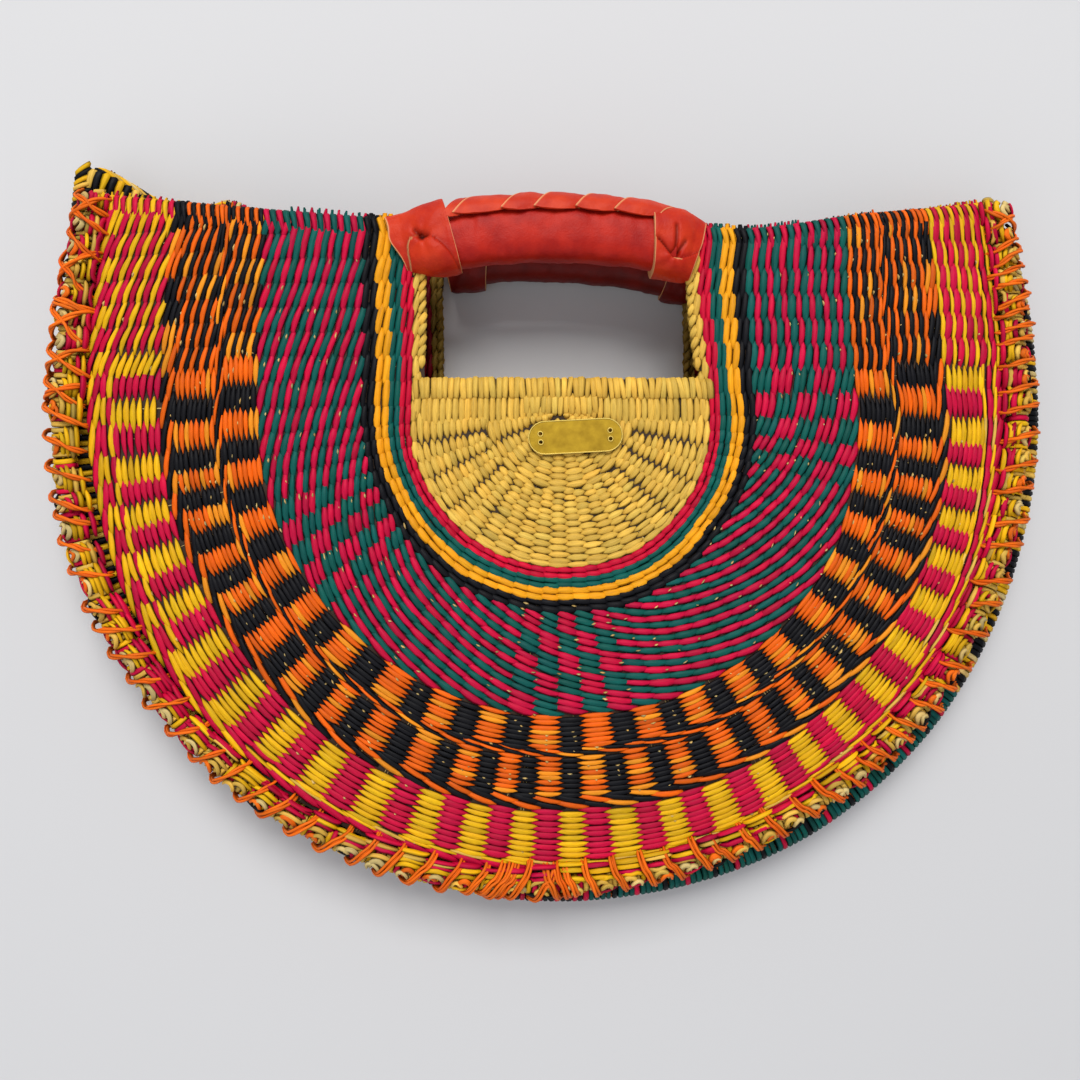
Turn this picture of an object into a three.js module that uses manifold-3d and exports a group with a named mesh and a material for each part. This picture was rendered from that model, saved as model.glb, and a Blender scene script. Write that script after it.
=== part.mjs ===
// Half-moon handbag of twined straw, lying on its back panel, in millimetres with +Z up.
// Two domed, fan-shaped walls of straw are sewn together round their curved border rolls.
// Each wall has a hand opening under the top edge, bridged by a straw core in a leather wrap.
// +X runs along the top edge and +Y from the round bottom to the handles.
// The origin is below the middle of the bag, on the surface it lies on.
import * as THREE from "three";
import { mergeVertices } from "three/addons/utils/BufferGeometryUtils.js";
import Module from "manifold-3d";

const wasm = await Module();
wasm.setup();

// Woven walls, each measured from the centre of its rings of weft
const frontRadius = 194; // to the edge of the woven wall
const backLarger = 3.5; // how much farther the back wall reaches
const cornerHeight = 93; // up to the top corners
const mouthHeight = 77.5; // up to the top edge beside the handle
const topEdgePower = 2.5; // how late the top edge rises to the corners
const sideLean = 11; // how far the straight sides lean in at the corners
const wallThickness = 4.2; // weft over and under its spokes
const domeRise = 18; // from the sewn edge to the flat middle
const domePower = 1.8;
const flatRadius = 95; // the middle that stays flat

// Border rolls and the seam between them
const rimWidth = 12;
const rimThickness = 7;
const rimEndShare = 0.7; // how slim the roll is at its two ends
const seamGap = 0.3; // between the two border rolls
const fitGap = 0.3; // between any other two touching pieces
const backShift = [4.9, 0.5]; // the back half was sewn on slightly off centre
const backSkew = 8.5; // its corners stand this much to one side
const backTurn = THREE.MathUtils.degToRad(3.5); // its opening and handle are set at an angle

// Hand opening
const openingWidth = 107.5;
const openingSill = 14; // its lower edge above the ring centre
const openingSplay = 4.5; // how much farther one side runs out at the lower edge
const openingSplayTop = 56; // where that side starts to run out

// The back wall bends in towards the seam round its handle, so that the bag rests flat
const curlRun = 40; // height over which it bends in
const curlClear = 4; // full bend below the caps and past their ends
const curlFade = 72; // width over which it dies away beside them
const turnFade = 110; // width over which the top edge loses the handle's angle

// Handle
const handleDrop = 10.5; // centre line below the top edge at the sides of the opening
const handleBow = 5.5; // how much higher it is in the middle
const coreHeight = 17.4;
const coreDepth = 12;
const coreCorner = 4.5;
const wrapLeather = 2;
const capLap = 3; // over the end of the wrap
const capInside = 12.8; // from the end of the wrap to the side of the opening
const capOutside = 15.2; // over the corner of the wall on one side
const capOutsideShort = 8; // and on the other
const capLeather = 1.8;
const laceWidth = 6;
const laceHeight = 3.2;

// Label plate
const plateWidth = 38.2;
const plateHeight = 13.5;
const plateThickness = 1.2;
const plateHoleRadius = 0.8;
const plateHoleInset = 5; // from the ends of the plate
const plateHoleSpacing = 3.4;
const plateRight = 6.8; // of the ring centre
const plateBelow = 9.3;
const plateTilt = THREE.MathUtils.degToRad(3);

const backRadius = frontRadius + backLarger;
const openingHalf = openingWidth / 2;
const wrapHalf = openingHalf - capInside;
const capReach = openingHalf + capOutside;
const handleHeight = mouthHeight - handleDrop;
const wrapHeight = coreHeight + 2 * (fitGap + wrapLeather);
const wrapDepth = coreDepth + 2 * (fitGap + wrapLeather);
const capDepth = wrapDepth + 2 * (fitGap + capLeather);
const rimLift = seamGap / 2 + rimThickness / 2;
const outerFace = rimLift + domeRise + wallThickness / 2;
const backCurl = capDepth / 2 - wallThickness / 2; // brings the back handle level with the wall
const arcSteps = 40; // round the half ring
const sideSteps = 5; // up each straight side
const cutReach = 2 * backRadius; // past everything that a cut goes through

// Each half is made facing up, with its long cap on the left, and the back one is turned over.
const frontHalf = { radius: frontRadius, curl: 0, turn: 0, skew: 0 };
const backHalf = { radius: backRadius, curl: backCurl, turn: backTurn, skew: backSkew };

const colours = {
  strawField: 0xb8442a,
  borderStraw: 0xd9b04a,
  coreStraw: 0xd8c07c,
  leather: 0xc4371c,
  leatherDark: 0xa82d18,
  brass: 0xb08d2e,
};

function clamp01(value) {
  return Math.min(1, Math.max(0, value));
}

function smooth(value) {
  const t = clamp01(value);
  return t * t * (3 - 2 * t);
}

// The folded leather that ties each end of the handle to the corner of the wall.
// Columns: place along the cap as a share of its length, reach below and above the handle's
// centre line as shares of the wrap's height, and depth as a share of the cap's depth.
const capSections = [
  { along: 0, below: 0.6, above: 0.7, deep: 1 },
  { along: 0.2, below: 0.6, above: 0.76, deep: 1 },
  { along: 0.5, below: 0.6, above: 0.84, deep: 1 },
  { along: 0.74, below: 0.5, above: 0.74, deep: 0.78 },
  { along: 1, below: -0.26, above: 0.63, deep: 0.44 },
];
const capBelow = wrapHeight * Math.max(...capSections.map(({ below }) => below));

// Height of the top edge above the ring centre, where a ring of this radius ends on one side.
// Beside the handle the edge follows its angle; side 0 is seen square to the handle.
function topEdge(half, radius, side = 0) {
  const share = Math.min(1, radius / half.radius);
  const turned = side * radius * Math.tan(half.turn) * (1 - smooth((radius - capReach) / turnFade));
  return mouthHeight + (cornerHeight - mouthHeight) * share ** topEdgePower + turned;
}

// Mid-wall height above the seam plane, with y measured square to the handle.
function wallLift(half, radius, y) {
  const beyondFlat = clamp01((radius - flatRadius) / (half.radius - flatRadius));
  const dome = rimLift + domeRise * (1 - beyondFlat ** domePower);
  const nearHandle = 1 - smooth((radius - capReach - curlClear) / curlFade);
  const fullBend = handleHeight - capBelow - curlClear;
  return dome - half.curl * nearHandle * smooth(1 - (fullBend - y) / curlRun);
}

// A ring of weft: up the left side, round the bottom and up the right side.
// The last step holds the ring's place at the top edge.
function ringStations() {
  const stations = [];
  for (let i = sideSteps; i > 0; i--) {
    stations.push({ side: -1, up: i / sideSteps, angle: Math.PI / 2 });
  }
  for (let i = 0; i <= arcSteps; i++) {
    const angle = Math.PI * (i / arcSteps - 0.5);
    stations.push({ side: Math.sign(angle), up: 0, angle: Math.abs(angle) });
  }
  for (let i = 1; i <= sideSteps; i++) {
    stations.push({ side: 1, up: i / sideSteps, angle: Math.PI / 2 });
  }
  return stations;
}

function ringPoint(half, radius, { side, up, angle }) {
  const y = up * topEdge(half, radius, side) - (up > 0 ? 0 : radius * Math.cos(angle));
  const outward = Math.min(1, radius / half.radius);
  const bend = outward ** 2 * (Math.max(0, y) / cornerHeight) ** 2;
  return { x: side * (radius * Math.sin(angle) - sideLean * bend) + half.skew * bend, y };
}

// A closed geometry from points and triangles, turned so that its faces point out.
function closedGeometry(points, triangles) {
  const corner = (i) => new THREE.Vector3(...points[i]);
  const volume = triangles.reduce(
    (sum, [a, b, c]) => sum + corner(a).dot(corner(b).cross(corner(c))),
    0,
  );
  const index = triangles.flatMap(([a, b, c]) => (volume < 0 ? [a, c, b] : [a, b, c]));
  const geometry = new THREE.BufferGeometry();
  geometry.setAttribute("position", new THREE.Float32BufferAttribute(points.flat(), 3));
  geometry.setIndex(index);
  return geometry;
}

// A closed body through sections that all have the same number of points.
function loft(sections) {
  const count = sections[0].length;
  const triangles = [];
  for (let s = 0; s + 1 < sections.length; s++) {
    for (let i = 0; i < count; i++) {
      const a = s * count + i;
      const b = s * count + ((i + 1) % count);
      triangles.push([a, b, a + count], [b, b + count, a + count]);
    }
  }
  const last = (sections.length - 1) * count;
  for (let i = 1; i + 1 < count; i++) {
    triangles.push([0, i + 1, i], [last, last + i, last + i + 1]);
  }
  return closedGeometry(sections.flat(), triangles);
}

function toSolid(geometry) {
  const bare = geometry.clone();
  bare.deleteAttribute("normal");
  bare.deleteAttribute("uv");
  const merged = mergeVertices(bare, 1e-4);
  return new wasm.Manifold(
    new wasm.Mesh({
      numProp: 3,
      vertProperties: new Float32Array(merged.attributes.position.array),
      triVerts: new Uint32Array(merged.index.array),
    }),
  );
}

function toGeometry(solid) {
  const mesh = solid.getMesh();
  const geometry = new THREE.BufferGeometry();
  geometry.setAttribute("position", new THREE.BufferAttribute(new Float32Array(mesh.vertProperties), 3));
  geometry.setIndex(new THREE.BufferAttribute(new Uint32Array(mesh.triVerts), 1));
  return geometry;
}

// A box between two corners.
function boxBetween(low, high) {
  const size = high.map((value, i) => value - low[i]);
  const box = new THREE.BoxGeometry(...size);
  box.translate(...low.map((value, i) => value + size[i] / 2));
  return toSolid(box);
}

// A rounded rectangle in a plane across the handle, as points of [y, z].
function roundedSection(low, high, depth, corner, stepsPerCorner = 3) {
  const radius = Math.min(corner, (high - low) / 2.001, depth / 2.001);
  const centres = [
    [high - radius, depth / 2 - radius],
    [low + radius, depth / 2 - radius],
    [low + radius, radius - depth / 2],
    [high - radius, radius - depth / 2],
  ];
  return centres.flatMap(([y, z], quarter) =>
    Array.from({ length: stepsPerCorner + 1 }, (_, i) => {
      const angle = (Math.PI / 2) * (quarter + i / stepsPerCorner);
      return [y + radius * Math.cos(angle), z + radius * Math.sin(angle)];
    }),
  );
}

function piece(name, geometry, colour, roughness, metalness = 0) {
  const flat = geometry.index ? geometry.toNonIndexed() : geometry;
  flat.computeVertexNormals();
  const material = new THREE.MeshStandardMaterial({ color: colour, roughness, metalness });
  const mesh = new THREE.Mesh(flat, material);
  mesh.name = name;
  return mesh;
}

// The domed wall, with the hand opening cut down from its top edge.
function wovenWall(half) {
  const stations = ringStations();
  const flatRings = [0, 0.6, 0.8, 1].map((share) => share * flatRadius);
  const domeWidth = half.radius - flatRadius;
  const domeRings = [1, 2, 3, 4, 5, 6, 7].map((step) => flatRadius + (domeWidth * step) / 7);
  const radii = [...flatRings, ...domeRings];
  const points = [];
  const triangles = [];
  for (const face of [1, -1]) {
    for (const radius of radii) {
      for (const station of stations) {
        const { x, y } = ringPoint(half, radius, station);
        const above = y * Math.cos(half.turn) - x * Math.sin(half.turn);
        points.push([x, y, wallLift(half, radius, above) + (face * wallThickness) / 2]);
      }
    }
  }
  const across = stations.length;
  const faceSize = across * radii.length;
  for (let r = 0; r + 1 < radii.length; r++) {
    for (let i = 0; i + 1 < across; i++) {
      const a = r * across + i;
      const top = [a, a + 1, a + across + 1, a + across];
      const under = top.map((corner) => corner + faceSize);
      triangles.push([top[0], top[2], top[1]], [top[0], top[3], top[2]]);
      triangles.push([under[0], under[1], under[2]], [under[0], under[2], under[3]]);
    }
  }
  const outerRing = Array.from({ length: across }, (_, i) => (radii.length - 1) * across + i);
  const leftTop = radii.map((_, r) => r * across);
  const rightTop = radii.map((_, r) => r * across + across - 1);
  for (const edge of [outerRing, leftTop, [...rightTop].reverse()]) {
    for (let i = 0; i + 1 < edge.length; i++) {
      const [a, b] = [edge[i], edge[i + 1]];
      triangles.push([a, a + faceSize, b], [b, a + faceSize, b + faceSize]);
    }
  }
  const wall = toSolid(withoutCollapsed(closedGeometry(points, triangles)));
  return toGeometry(wall.subtract(openingCut(half)));
}

// What the hand opening takes out of the wall.
function openingCut(half) {
  const outline = new THREE.Shape([
    new THREE.Vector2(-openingHalf, openingSill),
    new THREE.Vector2(openingHalf + openingSplay, openingSill),
    new THREE.Vector2(openingHalf, openingSplayTop),
    new THREE.Vector2(openingHalf, cutReach),
    new THREE.Vector2(-openingHalf, cutReach),
  ]);
  const cut = new THREE.ExtrudeGeometry(outline, { depth: 2 * cutReach, bevelEnabled: false });
  cut.translate(0, 0, -cutReach);
  cut.rotateZ(half.turn);
  return toSolid(cut);
}

// Drops the triangles that have shrunk to a line at the ring centre, where the rings meet.
function withoutCollapsed(geometry) {
  const merged = mergeVertices(geometry, 1e-4);
  const index = merged.index.array;
  const kept = [];
  for (let i = 0; i < index.length; i += 3) {
    const [a, b, c] = [index[i], index[i + 1], index[i + 2]];
    if (a !== b && b !== c && a !== c) kept.push(a, b, c);
  }
  merged.setIndex(kept);
  return merged;
}

// The border roll along the sewn edge, an oval section swept round the ring beyond the wall.
function borderRoll(half) {
  const sides = 12;
  const radius = half.radius + fitGap + rimWidth / 2;
  const route = ringStations().map((station) => ringPoint(half, radius, station));
  const sections = route.map(({ x, y }, i) => {
    const before = route[Math.max(0, i - 1)];
    const after = route[Math.min(route.length - 1, i + 1)];
    const along = new THREE.Vector2(after.x - before.x, after.y - before.y).normalize();
    const endShare = Math.min(i, route.length - 1 - i);
    const swell = endShare === 0 ? rimEndShare : 1;
    return Array.from({ length: sides }, (_, k) => {
      const angle = (2 * Math.PI * k) / sides;
      const out = (swell * rimWidth * Math.cos(angle)) / 2;
      const up = (swell * rimThickness * Math.sin(angle)) / 2;
      return [x + along.y * out, y - along.x * out, rimLift + up];
    });
  });
  return loft(sections);
}

// Height of the handle's centre line above the ring centre.
function handleLine(x) {
  return handleHeight + handleBow * (1 - Math.min(1, Math.abs(x) / openingHalf) ** 2);
}

// A bar along the handle's centre line between two places, with a section given by its size there.
function handleBar(from, to, steps, sectionAt) {
  const sections = Array.from({ length: steps + 1 }, (_, i) => {
    const x = from + ((to - from) * i) / steps;
    return sectionAt(x).map(([y, z]) => [x, handleLine(x) + y, z]);
  });
  return loft(sections);
}

function handleCore() {
  const end = openingHalf - fitGap;
  const section = roundedSection(-coreHeight / 2, coreHeight / 2, coreDepth, coreCorner);
  return handleBar(-end, end, 10, () => section);
}

// The leather tube round the core.
function handleWrap() {
  const boreHeight = coreHeight + 2 * fitGap;
  const boreDepth = coreDepth + 2 * fitGap;
  const outside = roundedSection(-wrapHeight / 2, wrapHeight / 2, wrapDepth, coreCorner + wrapLeather);
  const inside = roundedSection(-boreHeight / 2, boreHeight / 2, boreDepth, coreCorner + fitGap);
  const tube = toSolid(handleBar(-wrapHalf, wrapHalf, 8, () => outside));
  const past = wrapHalf + capLap;
  const bore = toSolid(handleBar(-past, past, 8, () => inside));
  return toGeometry(tube.subtract(bore));
}

// The laced seam along the top of the wrap.
function handleLace() {
  const end = wrapHalf - capLap - fitGap;
  const base = wrapHeight / 2 + fitGap;
  const section = roundedSection(base, base + laceHeight, laceWidth, laceHeight / 2, 2);
  return handleBar(-end, end, 8, () => section);
}

// A hollow cap over one end of the wrap, open at both ends and slit for the corner of the wall.
function handleCap(half, side) {
  const start = wrapHalf - capLap;
  const reach = side < 0 ? capReach : openingHalf + capOutsideShort;
  const span = reach - start;
  const corner = coreCorner + wrapLeather;
  const bodyOf = (inset, overrun) =>
    loft(
      capSections.map(({ along, below, above, deep }, i) => {
        const ends = i === 0 ? -overrun : i === capSections.length - 1 ? overrun : 0;
        const x = start + along * span + ends;
        const section = roundedSection(
          inset - below * wrapHeight,
          above * wrapHeight - inset,
          deep * capDepth - 2 * inset,
          corner - inset,
        );
        return section.map(([y, z]) => [side * x, handleLine(start + along * span) + y, z]);
      }),
    );
  const slotHalf = wallThickness / 2 + fitGap;
  const slotStart = openingHalf - fitGap;
  const slotTop = topEdge(half, reach) + fitGap;
  const slot = boxBetween(
    [side > 0 ? slotStart : -cutReach, -cutReach, -slotHalf],
    [side > 0 ? cutReach : -slotStart, slotTop, slotHalf],
  );
  const cap = toSolid(bodyOf(0, 0)).subtract(toSolid(bodyOf(capLeather, fitGap))).subtract(slot);
  return toGeometry(cap);
}

// A plate with round ends and a pair of sewing holes at each end.
function labelPlate() {
  const round = plateHeight / 2;
  const straight = plateWidth / 2 - round;
  const outline = new THREE.Shape();
  outline.absarc(straight, 0, round, -Math.PI / 2, Math.PI / 2, false);
  outline.absarc(-straight, 0, round, Math.PI / 2, (3 * Math.PI) / 2, false);
  for (const x of [-1, 1]) {
    for (const y of [-1, 1]) {
      const hole = new THREE.Path();
      const centreX = x * (plateWidth / 2 - plateHoleInset);
      hole.absarc(centreX, (y * plateHoleSpacing) / 2, plateHoleRadius, 0, 2 * Math.PI, true);
      outline.holes.push(hole);
    }
  }
  const settings = { depth: plateThickness, bevelEnabled: false, curveSegments: 6 };
  return new THREE.ExtrudeGeometry(outline, settings);
}

// One half of the bag, facing up from the seam plane, with its handle.
function bagHalf(prefix, half, leftSide) {
  const group = new THREE.Group();
  group.add(piece(`${prefix}_panel`, wovenWall(half), colours.strawField, 0.75));
  group.add(piece(`${prefix}_rim`, borderRoll(half), colours.borderStraw, 0.8));
  const handle = new THREE.Group();
  handle.position.z = wallLift(half, openingHalf, handleHeight);
  handle.rotation.z = half.turn;
  handle.add(piece(`${prefix}_handle_core`, handleCore(), colours.coreStraw, 0.8));
  handle.add(piece(`${prefix}_handle_wrap`, handleWrap(), colours.leather, 0.5));
  handle.add(piece(`${prefix}_handle_lace`, handleLace(), colours.leather, 0.5));
  handle.add(piece(`${prefix}_handle_cap_left`, handleCap(half, leftSide), colours.leatherDark, 0.5));
  handle.add(piece(`${prefix}_handle_cap_right`, handleCap(half, -leftSide), colours.leatherDark, 0.5));
  group.add(handle);
  return group;
}

const bag = new THREE.Group();

const front = bagHalf("front", frontHalf, -1);
const plate = piece("label_plate", labelPlate(), colours.brass, 0.35, 0.9);
plate.position.set(plateRight, -plateBelow, outerFace + fitGap);
plate.rotation.z = plateTilt;
front.add(plate);
bag.add(front);

// The back half is the same piece of work turned over.
const back = new THREE.Group();
const turnedOver = bagHalf("back", backHalf, 1);
turnedOver.rotation.y = Math.PI;
back.add(turnedOver);
back.position.set(...backShift, 0);
bag.add(back);

// Origin on the surface the bag lies on, below the middle of its outline.
const extent = new THREE.Box3().setFromObject(bag, true);
bag.position.set(
  -(extent.min.x + extent.max.x) / 2,
  -(extent.min.y + extent.max.y) / 2,
  -extent.min.z,
);

const handbag = new THREE.Group();
handbag.add(bag);

export default handbag;
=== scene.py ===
import math
import bpy
import numpy as np
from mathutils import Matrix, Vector


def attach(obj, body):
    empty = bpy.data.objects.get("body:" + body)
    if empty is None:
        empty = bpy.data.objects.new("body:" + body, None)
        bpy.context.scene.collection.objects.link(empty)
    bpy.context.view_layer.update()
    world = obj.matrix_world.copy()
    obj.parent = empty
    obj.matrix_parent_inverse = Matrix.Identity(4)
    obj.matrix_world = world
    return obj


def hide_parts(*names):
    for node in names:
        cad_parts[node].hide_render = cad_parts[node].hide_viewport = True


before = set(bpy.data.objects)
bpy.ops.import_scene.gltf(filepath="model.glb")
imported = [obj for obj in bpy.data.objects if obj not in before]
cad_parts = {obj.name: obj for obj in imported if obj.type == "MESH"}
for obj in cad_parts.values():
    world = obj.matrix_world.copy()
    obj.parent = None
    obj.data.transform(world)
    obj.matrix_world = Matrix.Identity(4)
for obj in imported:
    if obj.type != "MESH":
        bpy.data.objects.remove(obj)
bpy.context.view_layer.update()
print("frame loaded")

# The walls' shape, in millimetres from the centre of their rings of weft, as in the solids
wall = {
    "ringCentre": (-4.2, 57.1585, 23.75),
    "cornerHeight": 93.0,
    "mouthHeight": 77.5,
    "topEdgePower": 2.5,
    "sideLean": 11.0,
    "domeRise": 18.0,
    "domePower": 1.8,
    "flatRadius": 95.0,
    "rimLift": 3.65,
    "fullBend": 49.8,
    "curlRun": 40.0,
    "curlFrom": 72.95,
    "curlFade": 72.0,
    "turnFrom": 68.95,
    "turnFade": 110.0,
    "riseFrom": 140.0,
    "riseRun": 62.0,
    "peakAt": 146.0,
    "peakWidth": 12.0,
    "peakShare": 0.8,
    "sagAt": 84.0,
    "sagWidth": 30.0,
}
frontHalf = {
    "name": "front", "over": False, "radius": 194.0, "curl": 0.0, "turn": 0.0, "skew": 0.0,
    "shift": (0.0, 0.0), "rise": 0.0, "sag": 3.4,
}
backHalf = {
    "name": "back", "over": True, "radius": 197.5, "curl": 8.3, "turn": math.radians(3.5), "skew": 8.5,
    "shift": (4.9, 0.5), "rise": 12.0, "sag": 0.0,
}
opening = {"half": 53.75, "sill": 14.0, "splay": 4.5}

# Dyes of the straw and leather, as seen in daylight
dyes = {
    "natural": (0.86, 0.69, 0.29),
    "cream": (0.84, 0.73, 0.46),
    "red": (0.78, 0.01, 0.19),
    "teal": (0.0, 0.33, 0.30),
    "gold": (0.93, 0.62, 0.07),
    "black": (0.03, 0.03, 0.055),
    "pink": (0.76, 0.01, 0.225),
    "orange": (0.90, 0.375, 0.01),
    "amber": (0.92, 0.56, 0.10),
    "yellow": (0.89, 0.68, 0.04),
    "lash": (0.92, 0.42, 0.05),
    "speck": (0.80, 0.68, 0.42),
}


def toLinear(colour):
    c = np.asarray(colour, float)
    return np.where(c <= 0.04045, c / 12.92, ((c + 0.055) / 1.055) ** 2.4)


def smoothStep(value):
    t = np.clip(value, 0, 1)
    return t * t * (3 - 2 * t)


def bell(value, middle, width):
    return np.exp(-((value - middle) / width) ** 2)


def unit(vectors):
    return vectors / np.maximum(np.linalg.norm(vectors, axis=-1, keepdims=True), 1e-9)


# How far the rows wander from true rings: a table over the ring (columns) and the radius (rows)
wanderAt = np.array([-170, -120, -60, -30, 0, 30, 60, 90, 108, 140, 170], float)
wanderRadius = np.array([0, 40, 58.5, 79, 121, 137, 159, 187, 198, 240], float)
wander = np.array([
    [0, 0, 0, 0, 0, 0, 0, 0, 0, 0, 0],
    [0, 0, 0.6, 1.2, 2, 2.4, 2, 1.5, 0, 0, 0],
    [0, 0, 2.4, 3.2, 4, 5.5, 5, 3.5, 2.6, -0.8, 0.6],
    [0, 0, 0.6, 1.2, 2, 3.4, 3, 2, 0.4, -1.5, 0],
    [-0.5, -0.5, 0.2, 0.8, 1.4, 5, 5.5, 3, 0.8, 0.2, 0.4],
    [-1, -1, -0.4, 0, 0.8, 3.5, 4, 3, 1, 0, 0],
    [-0.6, -0.6, -0.2, 0.4, 2, 4.5, 6, 3.6, 1.5, 0.5, 0],
    [2.4, 2.6, 1.8, 0.4, 0.4, 1.0, 1.8, 1.2, 0.8, 0.5, 0.3],
    [3.2, 3.4, 1.9, -1.0, -2.2, -2.2, -0.2, -0.2, 0, 0.2, 0.4],
    [3.2, 3.4, 1.9, -1.0, -2.2, -2.2, -0.2, -0.2, 0, 0.2, 0.4],
])


def tablePlace(value, stops):
    return np.clip(np.interp(value, stops, np.arange(len(stops))), 0, len(stops) - 1.001)


def rowWander(s, radius):
    column, row = tablePlace(s, wanderAt), tablePlace(radius, wanderRadius)
    c, r = column.astype(int), row.astype(int)
    tc, tr = smoothStep(column - c), row - r
    upper = wander[r, c] * (1 - tc) + wander[r, c + 1] * tc
    lower = wander[r + 1, c] * (1 - tc) + wander[r + 1, c + 1] * tc
    uneven = 0.3 * np.sin(s * 0.11 + radius * 0.07) + 0.2 * np.sin(s * 0.27 - radius * 0.13)
    return upper * (1 - tr) + lower * tr + uneven * smoothStep((radius - 56) / 20)


# The height of the top edge. The back's right corner is raised, and the front's right side sags.
def topEdge(half, radius, side):
    share = np.minimum(1, radius / half["radius"])
    straight = 1 - smoothStep((radius - wall["turnFrom"]) / wall["turnFade"])
    turned = side * radius * math.tan(half["turn"]) * straight
    climb = smoothStep((radius - wall["riseFrom"]) / wall["riseRun"]) ** 2
    raised = half["rise"] * (climb + wall["peakShare"] * bell(radius, wall["peakAt"], wall["peakWidth"]))
    raised = raised - half["sag"] * bell(radius, wall["sagAt"], wall["sagWidth"])
    corner = wall["cornerHeight"] - wall["mouthHeight"]
    return wall["mouthHeight"] + corner * share ** wall["topEdgePower"] + turned + raised * (side > 0)


def wallLift(half, radius, x, y):
    beyond = np.clip((radius - wall["flatRadius"]) / (half["radius"] - wall["flatRadius"]), 0, 1)
    dome = wall["rimLift"] + wall["domeRise"] * (1 - beyond ** wall["domePower"])
    above = y * math.cos(half["turn"]) - x * math.sin(half["turn"])
    nearHandle = 1 - smoothStep((radius - wall["curlFrom"]) / wall["curlFade"])
    return dome - half["curl"] * nearHandle * smoothStep(1 - (wall["fullBend"] - above) / wall["curlRun"])


# How far the wall leans in from its ring, as a share, at a share of the radius and a height
def sideBend(outwards, y):
    return np.minimum(1, outwards) ** 2 * (np.maximum(y, 0) / wall["cornerHeight"]) ** 2


# A place on the middle of the wall. s is degrees round the arc from the bottom, and past 90
# it goes on in millimetres up the straight sides.
def onWall(half, s, radius, wandering=True):
    s, radius = np.broadcast_arrays(np.asarray(s, float), np.asarray(radius, float))
    reach = radius
    if wandering:
        reach = reach + (0.4 * rowWander(-s, radius) if half["over"] else rowWander(s, radius))
    side = np.sign(s)
    angle = np.radians(np.clip(s, -90, 90))
    up = np.maximum(np.abs(s) - 90, 0)
    y = np.where(up > 0, up, -reach * np.cos(angle))
    bend = sideBend(reach / half["radius"], y)
    x = reach * np.sin(angle) - side * wall["sideLean"] * bend + half["skew"] * bend
    return np.stack([x, y, wallLift(half, reach, x, y)], axis=-1)


# That place, with the directions outwards, along the ring and off the wall
def wallFrame(half, s, radius, wandering=True):
    step = 0.4
    place = onWall(half, s, radius, wandering)
    out = unit(onWall(half, s, radius + step, wandering) - onWall(half, s, radius - step, wandering))
    along = unit(onWall(half, s + step, radius, wandering) - onWall(half, s - step, radius, wandering))
    return place, out, along, unit(np.cross(out, along))


# Turned with the half, round the centre of its rings
def tilted(half, x, y):
    turn = half["turn"]
    return x * math.cos(turn) - y * math.sin(turn), x * math.sin(turn) + y * math.cos(turn)


# From a half's own millimetres to the scene's metres. The back half is turned over.
def toScene(half, points):
    p = np.array(points, float)
    if half["over"]:
        p = p * np.array([-1, 1, -1])
    p = p + np.array([half["shift"][0], half["shift"][1], 0]) + np.array(wall["ringCentre"])
    return p / 1000


def turnToScene(half, directions):
    return directions * np.array([-1, 1, -1]) if half["over"] else directions


# From millimetres along a ring to its s, and back
def ringPlace(along, radius):
    quarter = radius * math.pi / 2
    over = np.abs(along) - quarter
    return np.where(over > 0, np.sign(along) * (90 + over), np.degrees(along / radius))


def ringLength(s, radius):
    over = np.maximum(np.abs(s) - 90, 0)
    return np.radians(np.clip(s, -90, 90)) * radius + np.sign(s) * over


def clearSelection():
    if bpy.context.object and bpy.context.object.mode != "OBJECT":
        bpy.ops.object.mode_set(mode="OBJECT")
    bpy.ops.object.select_all(action="DESELECT")


def namePiece(piece, name):
    piece.name = name
    piece.data.name = name
    return piece


# A straight tube along X, one long and one thick: a cylinder cut into rings
def modelTube(sides, cuts):
    clearSelection()
    bpy.ops.mesh.primitive_cylinder_add(vertices=sides, radius=0.5, depth=1, location=(0, 0, 0))
    bpy.ops.object.mode_set(mode="EDIT")
    bpy.ops.mesh.select_all(action="SELECT")
    bpy.ops.transform.rotate(value=math.pi / 2, orient_axis="Y", center_override=(0, 0, 0))
    for cut in cuts:
        bpy.ops.mesh.select_all(action="SELECT")
        bpy.ops.mesh.bisect(plane_co=(cut / 2, 0, 0), plane_no=(1, 0, 0))
    bpy.ops.mesh.select_all(action="SELECT")
    bpy.ops.mesh.normals_make_consistent(inside=False)
    bpy.ops.object.mode_set(mode="OBJECT")
    return bpy.context.object


def readSpots(piece):
    spots = np.empty(len(piece.data.vertices) * 3)
    piece.data.vertices.foreach_get("co", spots)
    return spots.reshape(-1, 3)


# A straw that is modelled once, to be copied along many paths
def modelStraw(sides, cuts):
    model = modelTube(sides, cuts)
    spots = readSpots(model)
    places = np.unique(np.round(spots[:, 0], 4))
    straw = {
        "ring": np.searchsorted(places, np.round(spots[:, 0], 4)),
        "places": places * 2,
        "cross": spots[:, 1:] * 2,
        "faces": [list(face.vertices) for face in model.data.polygons],
    }
    bpy.data.objects.remove(model, do_unlink=True)
    return straw


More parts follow.
